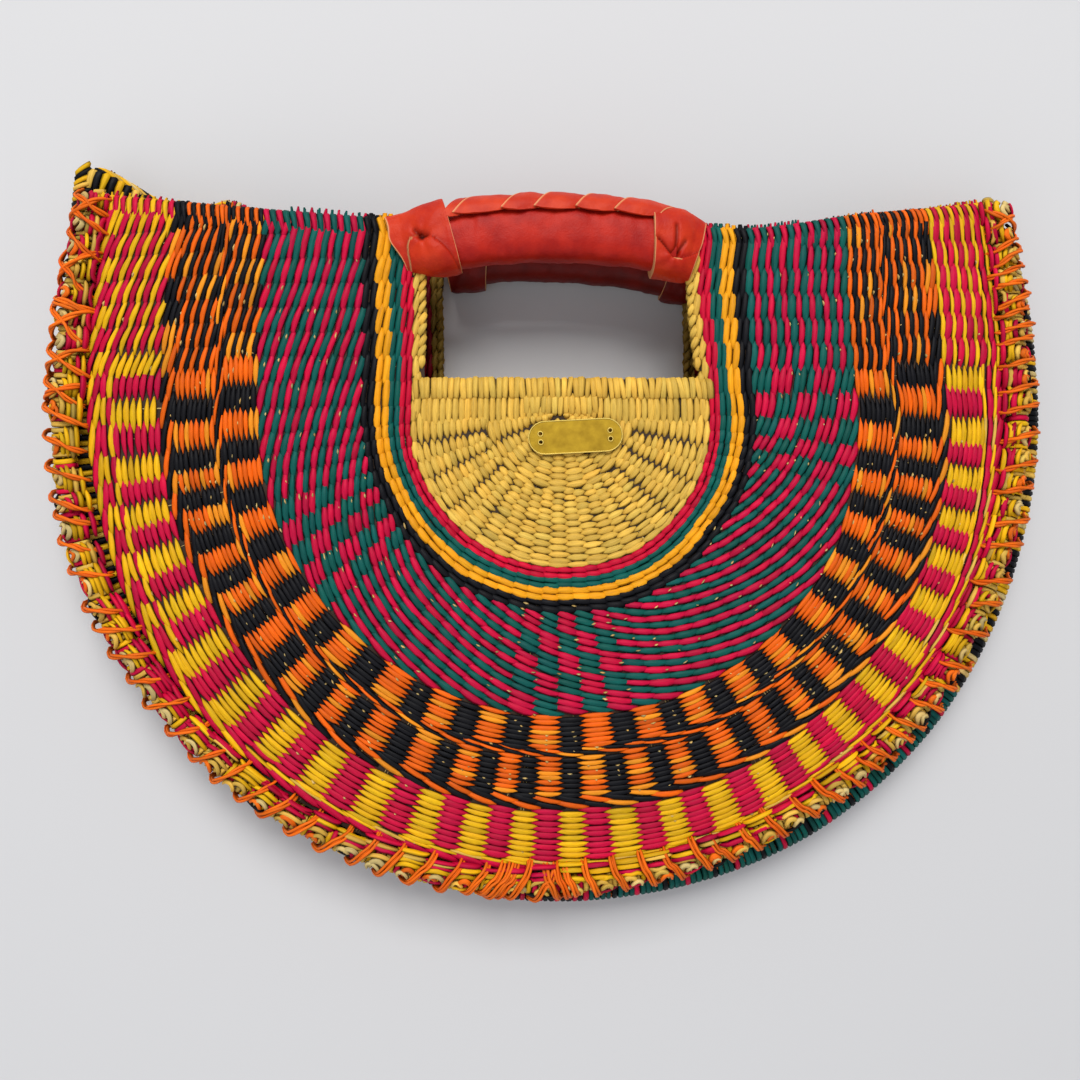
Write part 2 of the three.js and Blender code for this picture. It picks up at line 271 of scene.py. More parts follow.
# Bends copies of a straw along paths, which are (copies, rings, 3) in metres. Widths and depths are
# (copies, rings) in millimetres; sides and ups are directions. Every copy is a part of one new mesh.
# Its dye and its fibre, along, across and through the straw, are kept for the material; the depth through it
# drives painted shade.
def layStraws(name, straw, paths, sides, ups, widths, depths, colours, random):
    copies = len(paths)
    ring = straw["ring"]
    across = straw["cross"][:, 0] / 2 * (widths / 1000)[:, ring]
    deep = straw["cross"][:, 1] / 2 * (depths / 1000)[:, ring]
    points = paths[:, ring] + sides[:, ring] * across[..., None] + ups[:, ring] * deep[..., None]
    steps = np.linalg.norm(np.diff(paths, axis=1), axis=2)
    run = np.concatenate([np.zeros((copies, 1)), np.cumsum(steps, axis=1)], axis=1)
    count = len(ring)
    faces = straw["faces"]
    sizes = np.array([len(face) for face in faces])
    corners = np.concatenate([np.array(face) for face in faces])
    allCorners = (corners[None, :] + (np.arange(copies) * count)[:, None]).ravel()
    starts = np.concatenate([[0], np.cumsum(sizes)[:-1]])
    allStarts = (starts[None, :] + (np.arange(copies) * sizes.sum())[:, None]).ravel()
    mesh = bpy.data.meshes.new(name)
    mesh.vertices.add(copies * count)
    mesh.vertices.foreach_set("co", points.ravel())
    mesh.loops.add(len(allCorners))
    mesh.loops.foreach_set("vertex_index", allCorners)
    mesh.polygons.add(len(allStarts))
    mesh.polygons.foreach_set("loop_start", allStarts)
    mesh.update(calc_edges=True)
    mesh.validate()
    dye = mesh.attributes.new("dye", "FLOAT_COLOR", "POINT")
    tint = np.ones((copies, count, 4))
    tint[..., :3] = colours[:, None, :]
    dye.data.foreach_set("color", tint.ravel())
    fibre = mesh.attributes.new("fibre", "FLOAT_VECTOR", "POINT")
    start = random.uniform(0, 400, (copies, 1))
    grain = np.stack([run[:, ring] * 90 + start, across * 1000 + start * 0.37, deep * 1000], axis=-1)
    fibre.data.foreach_set("vector", grain.ravel())
    piece = bpy.data.objects.new(name, mesh)
    bpy.context.scene.collection.objects.link(piece)
    for face in mesh.polygons:
        face.use_smooth = True
    return piece


# The same on a half, whose places and directions they are in
def layOnHalf(name, straw, half, spots, sides, ups, widths, depths, colours, random):
    sides, ups = turnToScene(half, sides), turnToScene(half, ups)
    return layStraws(name, straw, toScene(half, spots), sides, ups, widths, depths, colours, random)


def finishPiece(piece, material, slotName, *nodes):
    piece.data.materials.clear()
    piece.data.materials.append(material)
    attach(piece, "root")
    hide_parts(*nodes)


def mixColours(names, random, spread=0.10):
    base = np.array([toLinear(dyes[name]) for name in names])
    light = random.normal(1, spread, (len(names), 1))
    warm = random.normal(0, spread * 0.35, (len(names), 1))
    return np.clip(base * np.clip(light, 0.6, 1.5) * (1 + warm * np.array([1, 0.2, -1])), 0.001, 1)


# Materials

def newMaterial(name):
    material = bpy.data.materials.new(name)
    material.use_nodes = True
    nodes, links = material.node_tree.nodes, material.node_tree.links
    return material, nodes, links, nodes["Principled BSDF"]


# A new node. Its settings come first, because they say which inputs it has.
def addNode(nodes, kind, values=None, **settings):
    node = nodes.new("ShaderNode" + kind)
    for key, value in settings.items():
        setattr(node, key, value)
    for key, value in (values or {}).items():
        node.inputs[key].default_value = value
    return node


def addRamp(nodes, levels, colours):
    ramp = addNode(nodes, "ValToRGB")
    for number in (0, 1):
        ramp.color_ramp.elements[number].position = levels[number]
        ramp.color_ramp.elements[number].color = (*colours[number], 1)
    return ramp


# Lays another colour over what comes from below, as far as the factor that is linked to it says
def addCover(nodes, colour):
    return addNode(nodes, "Mix", {"B": (*toLinear(colour), 1)}, data_type="RGBA")


def joinNodes(links, *joins):
    for source, output, target, entry in joins:
        links.new(source.outputs[output], target.inputs[entry])


# Straw: streaks of grain along each straw, and painted shade on its flanks where it lies between its
# neighbours
def makeStraw(name, rough=0.52, streak=0.30, bump=0.35):
    material, nodes, links, shader = newMaterial(name)
    dye = addNode(nodes, "Attribute", attribute_name="dye")
    fibre = addNode(nodes, "Attribute", attribute_name="fibre")
    grain = addNode(nodes, "TexNoise", {"Scale": 1.9, "Detail": 4, "Roughness": 0.65})
    streaks = {"From Min": 0.28, "From Max": 0.72, "To Min": 1 - streak, "To Max": 1 + streak * 0.55}
    level = addNode(nodes, "MapRange", streaks)
    parts = addNode(nodes, "SeparateXYZ")
    # Painted shade: the lower a point lies through the straw, the darker its dye, down to about a third
    flankShade = addNode(nodes, "MapRange", {"From Min": 0.0, "From Max": 0.5, "To Min": 0.36, "To Max": 1.0})
    both = addNode(nodes, "Math", operation="MULTIPLY")
    shade = addNode(nodes, "VectorMath", operation="SCALE")
    shine = addNode(nodes, "MapRange", {"To Min": rough - 0.08, "To Max": rough + 0.14})
    height = addNode(nodes, "Bump", {"Strength": bump, "Distance": 0.0004})
    joinNodes(
        links,
        (fibre, "Vector", grain, "Vector"),
        (grain, "Fac", level, "Value"),
        (fibre, "Vector", parts, "Vector"),
        (parts, "Z", flankShade, "Value"),
        (level, "Result", both, 0),
        (flankShade, "Result", both, 1),
        (dye, "Color", shade, 0),
        (both, "Value", shade, "Scale"),
        (shade, "Vector", shader, "Base Color"),
        (grain, "Fac", shine, "Value"),
        (shine, "Result", shader, "Roughness"),
        (grain, "Fac", height, "Height"),
        (height, "Normal", shader, "Normal"),
    )
    shader.inputs["Specular IOR Level"].default_value = 0.17
    return material


strawWeave = makeStraw("strawWeave")
strawBorder = makeStraw("strawBorder", rough=0.55)
print("materials ready")


# Where a straw is cut into rings, besides its ends at -1 and 1
def evenCuts(rings):
    return tuple(np.linspace(-1, 1, rings)[1:-1])


# Straws of the weave: outer stitches for the front and the back, a plain inner one, and longer strands
outerStraws = {"front": modelStraw(5, (-0.6, -0.2, 0.2, 0.6)), "back": modelStraw(5, (-0.5, 0.0, 0.5))}
innerStraw = modelStraw(4, (0.0,))
stemStraw = modelStraw(4, evenCuts(7))
turnStraw = modelStraw(5, evenCuts(10))
longStraw = modelStraw(5, evenCuts(13))
cordStraw = modelStraw(5, evenCuts(31))
speckStraw = modelStraw(4, (0.0,))

# Spokes, as s: the arc's, then millimetres up the left and right sides
spokes = {
    "core": {"arc": np.arange(-72, 90, 36.0), "left": [1.2], "right": [1.0]},
    "centre": {"arc": np.arange(-75, 90, 15.0), "left": [1.2], "right": [1.0]},
    "disc": {
        "arc": np.arange(-82.5, 90, 7.5),
        "left": 1.2 + 8.6 * np.arange(9),
        "right": 1.0 + 8.6 * np.arange(9),
    },
    "field": {
        "arc": np.array([
            -88, -84, -79.5, -75, -70.5, -66, -61.5, -57, -52.5, -48, -43, -37.5, -31.5, -26.5,
            -22, -17, -12.5, -7.5, -2.5, 2.2, 7, 12, 16.5, 21, 25.5, 30, 34.5, 39, 43.5, 48, 53,
            57.5, 62, 66, 70, 74, 78, 82, 86,
        ], float),
        "left": 8 + 9.8 * np.arange(9),
        "right": 3.5 + 10.0 * np.arange(10),
    },
    "outer": {
        "arc": np.array([
            -87, -83, -80, -77, -74, -70.5, -67, -64, -60.5, -56.5, -53.2, -48.5, -45, -41,
            -37.7, -34, -30, -26, -22, -18.3, -15, -11.5, -8, -5, -1.5, 2, 5.5, 9.3, 13, 16.3,
            19.7, 23, 27, 30.3, 33.7, 37.2, 40.3, 43.5, 47, 50.5, 53.5, 57, 60.5, 64, 67, 70.5,
            73.2, 76, 79, 82, 85, 88,
        ], float),
        "left": 3.0 + 9.6 * np.arange(10),
        "right": 7.5 + 10.2 * np.arange(9),
    },
}

# The weave from the centre outwards. "bands", "threads" and "cords" give each row's radius and width.
# "slants" say how far a stitch leans, "plump" how wide it is in its row, and "shapes" how far it dips
# at its ends, how thin they are there and how far they pass its neighbours. All limits are in s.
weave = {
    "discRows": 24,
    "discFirst": 57.2,
    "discPitch": -2.45,
    "discSpokes": [(29, "disc"), (7, "centre"), (2.5, "core")],
    "bands": [(59.6, 2.3, "red"), (61.9, 2.3, "red"), (64.1, 2.3, "teal"), (66.4, 2.3, "teal"),
              (68.9, 2.9, "gold"), (71.8, 2.9, "gold"), (74.5, 2.7, "black"), (77.2, 2.7, "black")],
    "fieldRows": 15,
    "fieldFirst": 79.9,
    "fieldPitch": 2.8,
    "checks": [(-74.5, -50.5), (-9.5, 13.5), (75.5, 107.0)],
    "blockRows": 7,
    "blockFirst": 121.7,
    "blockPitch": 2.15,
    "threads": [(136.5, 1.5), (138.0, 1.5)],
    "coalRows": 8,
    "coalFirst": 139.8,
    "coalPitch": 2.1,
    "cords": [(157.2, 2.6), (159.8, 2.6)],
    "sunRows": 9,
    "sunFirst": 162.5,
    "sunPitch": 2.75,
    "edgeRows": 2,
    "edgeFirst": 187.6,
    "edgePitch": 2.75,
    "edgeInSun": [(7, 58), (8, 36)],
    "edgedTo": (-45, 108),
    "blocksTo": (-111.0, 108.5),
    "sunBlocksTo": (-115.5, 113.5),
    "oneDye": {"disc": "natural", "red": "red", "teal": "teal", "gold": "gold", "black": "black"},
    "slants": {"disc": 0.05, "red": 0.1, "teal": 0.1, "gold": 0.1, "black": 0.2, "field": 0.5,
               "block": 0.05, "coal": 0.05, "sun": 0.08, "threads": 0.45, "cords": 0.5, "edge": 0.4},
    "sideSlants": {"block": 0.62, "coal": 0.62, "sun": 0.6, "field": 0.58, "threads": 0.5, "cords": 0.5,
                   "edge": 0.5},
    "sideSlantsFrom": 111,
    "bows": {"red": 0.16, "teal": 0.16, "gold": 0.16, "black": 0.16},
    "edgeBow": -0.35,
    "edgeWidth": 1.22,
    "strand": {"bow": -0.5, "width": 0.66},
    "plump": {"disc": 1.3, "red": 1.16, "teal": 1.16, "gold": 1.16, "black": 1.12, "field": 1.14,
              "block": 1.16, "coal": 1.16, "sun": 1.14, "edge": 1.2},
    "shapes": {"disc": (86, 0.30, 1.36), "nested": (80, 0.14, 1.34), "band": (68, 0.6, 1.42),
               "plain": (86, 0.26, 1.46)},
    "nested": {"disc": (-110, 110), "block": (-111.0, 108.5), "coal": (-111.0, 108.5),
               "sun": (-115.5, 113.5)},
    "stripesFrom": 108,
    "stripes": {"field": ("teal", "pink"), "block": ("orange", "black"), "coal": ("black", "orange"),
                "sun": ("yellow", "pink"), "edge": ("pink", "yellow")},
    "stripeWidths": {"teal": 1.1, "pink": 0.92, "yellow": 0.72, "orange": 0.95},
    "stripeSlant": 0.4,
    "sillRadius": 53,
    "sillRoom": 4.5,
    "topRoom": 2.2,
    "chainFrom": 8,
    "chainPitch": 4.3,
}


def listRows(half):
    rows = []

    def addRow(radius, width, zone, number, kind):
        rows.append({"radius": radius, "width": width, "zone": zone, "number": number, "spokes": kind})

    for j in range(weave["discRows"]):
        radius = weave["discFirst"] + weave["discPitch"] * j
        kind = next((name for limit, name in weave["discSpokes"] if radius > limit), None)
        if kind:
            addRow(radius, -weave["discPitch"], "disc", j, kind)
    for j, (radius, width, name) in enumerate(weave["bands"]):
        addRow(radius, width, name, j, "field")
    for zone in ("field", "block", "coal", "sun", "edge"):
        first, pitch = weave[zone + "First"], weave[zone + "Pitch"]
        kind = "field" if zone in ("field", "block") else "outer"
        for j in range(weave[zone + "Rows"] + (zone == "edge" and half["over"])):
            addRow(first + pitch * j, pitch, zone, j, kind)
    for zone in ("threads", "cords"):
        for j, (radius, width) in enumerate(weave[zone]):
            addRow(radius, width, zone, j, "outer")
    return rows


def isWithin(limits, s):
    return limits[0] < s < limits[1]


# Whether a row at the outside of the sun blocks follows the edge's pattern there
def inEdge(row, s):
    return row["zone"] == "sun" and any(
        row["number"] >= first and abs(s) > beyond for first, beyond in weave["edgeInSun"])


def isEdged(row, s):
    return (row["zone"] == "edge" or inEdge(row, s)) and isWithin(weave["edgedTo"], s)


# Whether a stitch belongs to one of the thin wavy strands that run between bold pink ones there
def isStrand(row, s):
    return isEdged(row, s) and (row["number"] + (row["zone"] == "edge")) % 2 == 1


# The dye of the straw that lies over a spoke
def dyeOf(row, spoke, s):
    zone, j = row["zone"], row["number"]
    if isEdged(row, s):
        return ("natural" if spoke % 3 == 0 else "yellow") if isStrand(row, s) else "pink"
    if zone in weave["oneDye"]:
        return weave["oneDye"][zone]
    if s > weave["stripesFrom"] and zone in weave["stripes"]:
        return weave["stripes"][zone][j % 2]
    inBlocks = isWithin(weave["blocksTo"], s)
    if zone == "field":
        checked = any(isWithin(limits, s) for limits in weave["checks"])
        return ("teal", "pink")[(spoke + (j // 3 if checked else j)) % 2]
    if zone == "sun":
        inBlocks = isWithin(weave["sunBlocksTo"], s) and not inEdge(row, s)
    phase = spoke + j
    if inBlocks and zone in ("block", "coal", "sun"):
        phase = spoke
    elif zone == "coal":
        phase = spoke + j + 1
    elif zone == "cords" and not inBlocks:
        phase = spoke // 2
    return (("pink", "yellow") if zone in ("sun", "edge") else ("orange", "black"))[phase % 2]


# All stitches of one row: spoke number, its s, and where the stitch starts and ends, in mm round the ring
def rowStitches(half, row):
    radius = row["radius"]
    kind = spokes[row["spokes"]]
    inDisc = row["zone"] == "disc" and radius < weave["sillRadius"]
    chain = row["zone"] == "disc" and not inDisc and row["number"] > 0
    heights, ends = [], []
    for side, name in ((-1, "left"), (1, "right")):
        top = float(topEdge(half, radius, side)) - weave["topRoom"]
        if inDisc:
            top = opening["sill"] - weave["sillRoom"]
        if chain:
            heights.append(np.arange(weave["chainFrom"], top - 2, weave["chainPitch"]))
        else:
            heights.append(np.array([h for h in kind[name] if h < top - 2.5]))
        ends.append(ringLength(side * (90 + top), radius))
    left, right = heights
    s = np.concatenate([-(90 + left[::-1]), kind["arc"], 90 + right])
    number = np.arange(len(s)) - len(left)
    middle = ringLength(s, radius)
    between = (middle[1:] + middle[:-1]) / 2
    start = np.concatenate([[ends[0]], between])
    end = np.concatenate([between, [ends[1]]])
    return number, s, start, end


def gatherStitches(half, rows):
    numbers = ("radius", "width", "start", "end", "slant", "bow", "s")
    keys = numbers + ("dye", "zone", "number", "spoke", "nested")
    out = {key: [] for key in keys}
    for row in rows:
        zone, j = row["zone"], row["number"]
        bow = weave["edgeBow"] if zone == "edge" else weave["bows"].get(zone, 0.0) * (1 if j % 2 else -1)
        plain = zone == "disc" and j == 0
        for spoke, s, start, end in zip(*rowStitches(half, row)):
            slants = weave["sideSlants" if abs(s) > weave["sideSlantsFrom"] else "slants"]
            slant = slants.get(zone, 0.42)
            dye = dyeOf(row, spoke, s)
            wide = 1.0
            if s > weave["stripesFrom"] and zone in weave["stripes"]:
                slant = slant * weave["stripeSlant"]
                wide = weave["stripeWidths"].get(dye, 1.05)
                wide = wide + (0.35 if zone == "sun" and dye == "pink" else 0)
            nested = isWithin(weave["nested"].get(zone, (0, 0)), s) and not plain and not inEdge(row, s)
            kind, curve = zone, bow
            if isStrand(row, s):
                kind, curve, wide = "strand", weave["strand"]["bow"], weave["strand"]["width"]
            elif zone == "edge" and isEdged(row, s):
                wide = weave["edgeWidth"]
            radius = row["radius"] + (row["width"] / 2 if nested and spoke % 2 == 1 else 0)
            values = (radius, row["width"] * wide, start, end, slant, curve, s, dye, kind, j, spoke, nested)
            for key, value in zip(keys, values):
                out[key].append(value)
    for key in numbers:
        out[key] = np.array(out[key], float)
    return out


# The dyes of the inner face, where the other straw of each pair shows
otherDye = {"pink": "yellow", "yellow": "pink", "orange": "black", "black": "orange"}
boldDyes = ("black", "yellow", "black", "natural", "cream")


def innerDye(half, zone, dye, count):
    if half["over"] and zone in ("sun", "edge", "strand"):
        return boldDyes[count % 5]
    if zone == "field":
        return "pink" if dye == "teal" else "teal"
    return dye if zone in ("red", "teal", "gold", "black") else otherDye.get(dye, dye)


# How a stitch lies: its height over the wall, how much stitches differ, and how thick one is
stitch = {
    "lift": 1.28,
    "liftSpread": 0.10,
    "slipSpread": 0.25,
    "driftSpread": 0.14,
    "widthSpread": 0.07,
    "crown": 1.1,
    "endDepth": 1.0,
    "moreDepth": 0.5,
    "amberShare": 0.24,
}


# Turns stitches into bent straws on the outer face, or on the inner face with face = -1
def weaveStitches(name, half, stitches, straw, face, random):
    u = straw["places"][None, :]
    count = len(stitches["radius"])
    zones = stitches["zone"]
    middle = (stitches["start"] + stitches["end"])[:, None] / 2
    reach = (stitches["end"] - stitches["start"])[:, None] / 2
    radius = stitches["radius"][:, None]
    bands = ("red", "teal", "gold", "black", "threads", "cords", "strand")
    kinds = ["disc" if zone == "disc" else "band" if zone in bands else "nested" if nested else "plain"
             for zone, nested in zip(zones, stitches["nested"])]
    dive, tip, lap = np.array([weave["shapes"][kind] for kind in kinds]).T[:, :, None]
    theta = u * np.radians(dive)
    lift = stitch["lift"] + random.normal(0, stitch["liftSpread"], (count, 1))
    swing = stitches["slant"][:, None] * stitches["width"][:, None] * face
    bow = stitches["bow"][:, None] * stitches["width"][:, None]
    slip = random.normal(0, stitch["slipSpread"], (count, 1))
    s = ringPlace(middle + slip + u * reach * lap, radius)
    drift = random.normal(0, stitch["driftSpread"], (count, 1))
    offset = swing * np.sin(theta) + bow * (np.cos(theta) - 0.4) + drift
    place, out, _, normal = wallFrame(half, s, radius + offset)
    height = lift * np.cos(theta) * face
    spots = place + normal * height[..., None]
    plump = tip + (stitch["crown"] - tip) * (1 - np.abs(u) ** 2.2)
    zoneWidth = np.array([weave["plump"].get(zone, 1.0) for zone in zones])[:, None]
    uneven = random.normal(1, stitch["widthSpread"], (count, 1))
    widths = stitches["width"][:, None] * zoneWidth * plump * uneven
    depths = (stitch["endDepth"] + stitch["moreDepth"] * np.cos(theta)) * np.ones((count, 1))
    names = list(stitches["dye"])
    if face < 0:
        names = [innerDye(half, zone, dye, k + j)
                 for zone, dye, k, j in zip(zones, names, stitches["spoke"], stitches["number"])]
    names = ["amber" if dye == "orange" and random.random() < stitch["amberShare"] else dye for dye in names]
    colours = mixColours(names, random)
    return layOnHalf(name, straw, half, spots, out, normal, widths, depths, colours, random)


def chooseStitches(stitches, keep):
    return {key: (value[keep] if isinstance(value, np.ndarray) else [v for v, k in zip(value, keep) if k])
            for key, value in stitches.items()}


# The turns of the straws over the top edge: how far each goes along and off the wall, and three more
# of them at the corners, beyond the last row
turns = {
    "along": [-9.4, -7.0, -3.6, -0.8, 0.45, 0.9, 0.45, -0.8, -3.6, -7.0, -9.4],
    "height": [0.1, 1.1, 1.75, 1.65, 1.05, 0, -1.05, -1.65, -1.75, -1.1, -0.1],
    "leanAt": [0, 0.2, 0.3, 0.4, 0.5, 0.6, 0.7, 0.8, 1],
    "lean": [0, 0.1, 0.3, 0.9, 1.57, 2.24, 2.84, 3.04, 3.14],
    "front": (198.7, ("natural", "yellow", "natural")),
    "back": (201.3, ("natural", "black", "yellow")),
    "pitch": 2.75,
    "width": 2.8,
    "depth": 1.35,
    "boldFrom": 150,
    "boldWidth": 1.3,
}


# The dye of a turn, which is bolder on the back's right side, where only the back is seen
def turnDye(half, row, side, spoke):
    zone, j = row["zone"], row["number"]
    if "dye" in row:
        return row["dye"]
    if half["over"] and side > 0 and zone in ("sun", "edge"):
        return boldDyes[j % 5]
    if half["over"] and side > 0 and zone in ("coal", "cords", "threads"):
        return "pink" if j % 2 else "cream"
    return dyeOf(row, spoke, side * 170)


def weaveTurns(name, half, rows, random):
    u = (turnStraw["places"] + 1) / 2
    tenths = np.linspace(0, 1, 11)
    goAlong = np.interp(u, tenths, turns["along"])
    goHeight = np.interp(u, tenths, turns["height"])
    goWidth = np.interp(u, [0, 0.15, 0.3, 0.7, 0.85, 1], [0.4, 0.85, 1.06, 1.06, 0.85, 0.4])
    swing = np.interp(u, [0, 0.4, 0.6, 1], [0.6, -0.3, -0.3, 0.6])
    radius, width, top, side, names = [], [], [], [], []
    outermost, fill = turns[half["name"]]
    filling = [{"radius": outermost - turns["pitch"] * j, "width": turns["width"], "zone": "edge",
                "number": j, "spokes": "outer", "dye": dye} for j, dye in enumerate(fill)]
    for row in rows + filling:
        if row["zone"] == "disc" and row["radius"] < weave["sillRadius"]:
            continue
        number = rowStitches(half, row)[0]
        for which, spoke in ((-1, number[0] - 1), (1, number[-1] + 1)):
            radius.append(row["radius"])
            width.append(row["width"])
            side.append(which)
            top.append(float(topEdge(half, row["radius"], which)))
            names.append(turnDye(half, row, which, spoke))
    radius, width, top, side = map(np.array, (radius, width, top, side))
    count = len(radius)
    s = side[:, None] * (90 + top[:, None] - 1.3 + goAlong[None, :])
    slide = swing[None, :] * width[:, None] * np.where(side < 0, -1, 1)[:, None]
    place, out, forward, normal = wallFrame(half, s, radius[:, None] + slide)
    spots = place + normal * goHeight[None, :, None]
    away = forward * side[:, None, None]
    lean = np.interp(u, turns["leanAt"], turns["lean"])
    ups = normal * np.cos(lean)[None, :, None] + away * np.sin(lean)[None, :, None]
    bold = (side > 0) & (radius > turns["boldFrom"]) & half["over"]
    wide = np.where(bold, turns["boldWidth"], 1.0) * random.normal(1, 0.06, count)
    widths = width[:, None] * goWidth[None, :] * wide[:, None]
    depths = np.full((count, len(u)), turns["depth"])
    colours = mixColours(names, random)
    return layOnHalf(name, turnStraw, half, spots, out, ups, widths, depths, colours, random)


# Stems of the spokes, three to each: which spokes run from which radius, and how they lie
stems = {
    "runs": [("centre", 4.5, 30), ("disc", 28, 59), ("field", 57, 138), ("outer", 136, None)],
    "fieldSideFrom": 60,
    "underTop": 4,
    "apart": 1.15,
    "centreApart": 0.6,
    "thick": 1.25,
    "height": -0.3,
}


def weaveStems(name, half, random):
    u = (stemStraw["places"] + 1) / 2
    s, low, high, shift = [], [], [], []
    for kind, inner, outer in stems["runs"]:
        outer = outer or half["radius"] - 0.5
        places = list(spokes[kind]["arc"])
        if kind in ("field", "outer"):
            places += [-90 - h for h in spokes[kind]["left"]] + [90 + h for h in spokes[kind]["right"]]
        for place in places:
            onSide = abs(place) > 90 and kind == "field"
            radii = np.linspace(stems["fieldSideFrom"] if onSide else inner, outer, 40)
            under = topEdge(half, radii, 1 if place > 0 else -1) - stems["underTop"] > abs(place) - 90
            if not under[-1]:
                continue
            first = radii[0] if under.all() else radii[np.flatnonzero(~under)[-1] + 1]
            for bit in (-1, 0, 1):
                s.append(place)
                low.append(first)
                high.append(outer)
                shift.append(bit * stems["centreApart" if kind == "centre" else "apart"])
    s, low, high, shift = map(np.array, (s, low, high, shift))
    radius = low[:, None] + (high - low)[:, None] * u[None, :]
    along = ringLength(s[:, None], radius) + shift[:, None] * np.minimum(1, radius / 20)
    place, _, forward, normal = wallFrame(half, ringPlace(along, radius), radius, wandering=False)
    height = stems["height"] + random.normal(0, 0.12, (len(s), 1)) + 0 * radius
    spots = place + normal * height[..., None]
    size = np.full(radius.shape, stems["thick"])
    colours = mixColours(["cream"] * len(s), random, 0.12)
    return layOnHalf(name, stemStraw, half, spots, forward, normal, size, size, colours, random)


# Cream bits of stem that show where stitches meet, in some places more than in others
specks = {"zones": ["field", "block", "coal", "sun", "black"], "chance": [0.42, 0.5, 0.5, 0.12, 0.3]}


def weaveSpecks(name, half, stitches, random):
    zone = np.array(stitches["zone"])
    s = ringPlace(stitches["end"], stitches["radius"])
    wave = np.sin(s * 0.21 + stitches["radius"] * 0.13) * np.cos(s * 0.083 - stitches["radius"] * 0.31)
    chance = np.select([zone == one for one in specks["zones"]], specks["chance"], 0.0)
    keep = random.random(len(s)) < chance * (0.12 + 1.7 * (0.5 + 0.5 * wave) ** 3)
    count = int(keep.sum())
    radius = stitches["radius"][keep][:, None]
    u = speckStraw["places"][None, :]
    long = random.uniform(0.5, 1.1, (count, 1))
    skew = random.normal(0.1, 0.14, (count, 1))
    dark = np.isin(zone[keep], ["block", "coal", "sun"])
    middle = (stitches["start"] + stitches["end"])[keep] / 2
    at = np.where(dark, middle + random.choice([-1.2, 1.2], count), stitches["end"][keep])
    at = at[:, None] + random.normal(0, 0.5, (count, 1)) + u * long
    reach = radius + stitches["width"][keep][:, None] / 2 + skew * u + random.normal(0, 0.12, (count, 1))
    place, out, _, normal = wallFrame(half, ringPlace(at, reach), reach)
    spots = place + normal * (1.15 + 0.4 * (1 - u ** 2))[..., None]
    widths = (0.45 + 0.35 * np.sqrt(1 - u ** 2)) * random.uniform(0.7, 1.3, (count, 1))
    colours = mixColours(["speck"] * count, random, 0.2)
    return layOnHalf(name, speckStraw, half, spots, out, normal, widths, widths * 2, colours, random)


# A copy of a node of the frame, with the marks that make it a node taken off
def copyNode(node, name):
    clearSelection()
    source = bpy.data.objects[node]
    piece = source.copy()
    piece.data = source.data.copy()
    namePiece(piece, name)
    bpy.context.scene.collection.objects.link(piece)
    piece.hide_render = False
    piece.hide_viewport = False
    piece.select_set(True)
    bpy.context.view_layer.objects.active = piece
    bpy.ops.object.mode_set(mode="EDIT")
    bpy.ops.mesh.select_all(action="SELECT")
    bpy.ops.mesh.remove_doubles(threshold=0.00001)
    bpy.ops.object.mode_set(mode="OBJECT")
    for key in list(piece.keys()):
        if key.startswith("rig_"):
            del piece[key]
    return piece


# A thin sheet in the middle of the wall, coloured dark brown as painted shade in the gaps between the
# straws, so that no light comes through there. It ends a little below the top edge and beside the hand
# opening, so that the straws cover it.
shade = {
    "thin": 0.2, "below": 2.6, "topRun": 3, "topFrom": 60, "besideFrom": 45, "besideTo": 59, "besideRun": 6,
}


def shadeSheet(name, half, node):
    piece = copyNode(node, name)
    p = readSpots(piece) * 1000 - np.array(wall["ringCentre"]) - np.array([*half["shift"], 0])
    if half["over"]:
        p = p * np.array([-1, 1, -1])
    bend = sideBend(np.hypot(p[:, 0], np.minimum(p[:, 1], 0)) / half["radius"], p[:, 1])
    x = p[:, 0] - half["skew"] * bend
    radius = np.where(p[:, 1] < 0, np.hypot(p[:, 0], p[:, 1]), np.abs(x) + wall["sideLean"] * bend)
    middle = wallLift(half, radius, p[:, 0], p[:, 1])
    p[:, 2] = middle + (p[:, 2] - middle) * shade["thin"]
    plain = {**half, "rise": 0, "sag": 0}
    top = np.where(p[:, 0] < 0, topEdge(plain, radius, -1), topEdge(plain, radius, 1))
    drop = shade["below"] + (p[:, 0] > 0) * half["sag"] * bell(radius, wall["sagAt"], wall["sagWidth"])
    p[:, 1] -= drop * (1 - smoothStep((top - p[:, 1]) / shade["topRun"])) * (p[:, 1] > shade["topFrom"])
    beside = (np.abs(p[:, 0]) > shade["besideFrom"]) & (p[:, 1] > opening["sill"] + 1)
    away = 1 - smoothStep((np.abs(p[:, 0]) - shade["besideTo"]) / shade["besideRun"])
    p[:, 0] += np.sign(p[:, 0]) * shade["below"] * away * beside
    piece.data.vertices.foreach_set("co", toScene(half, p).ravel())
    piece.data.update()
    return piece


def plainMaterial(name, colour, rough):
    material, nodes, links, shader = newMaterial(name)
    coords = addNode(nodes, "TexCoord")
    noise = addNode(nodes, "TexNoise", {"Scale": 400})
    ramp = addRamp(nodes, (0, 1), (toLinear(colour) * 0.6, toLinear(colour) * 1.3))
    joinNodes(
        links,
        (coords, "Object", noise, "Vector"),
        (noise, "Fac", ramp, "Fac"),
        (ramp, "Color", shader, "Base Color"),
    )
    shader.inputs["Roughness"].default_value = rough
    return material


# Dark brown for the shade sheet: painted shade in the gaps between the straws
shadeStraw = plainMaterial("shadeStraw", (0.20, 0.13, 0.07), 0.8)

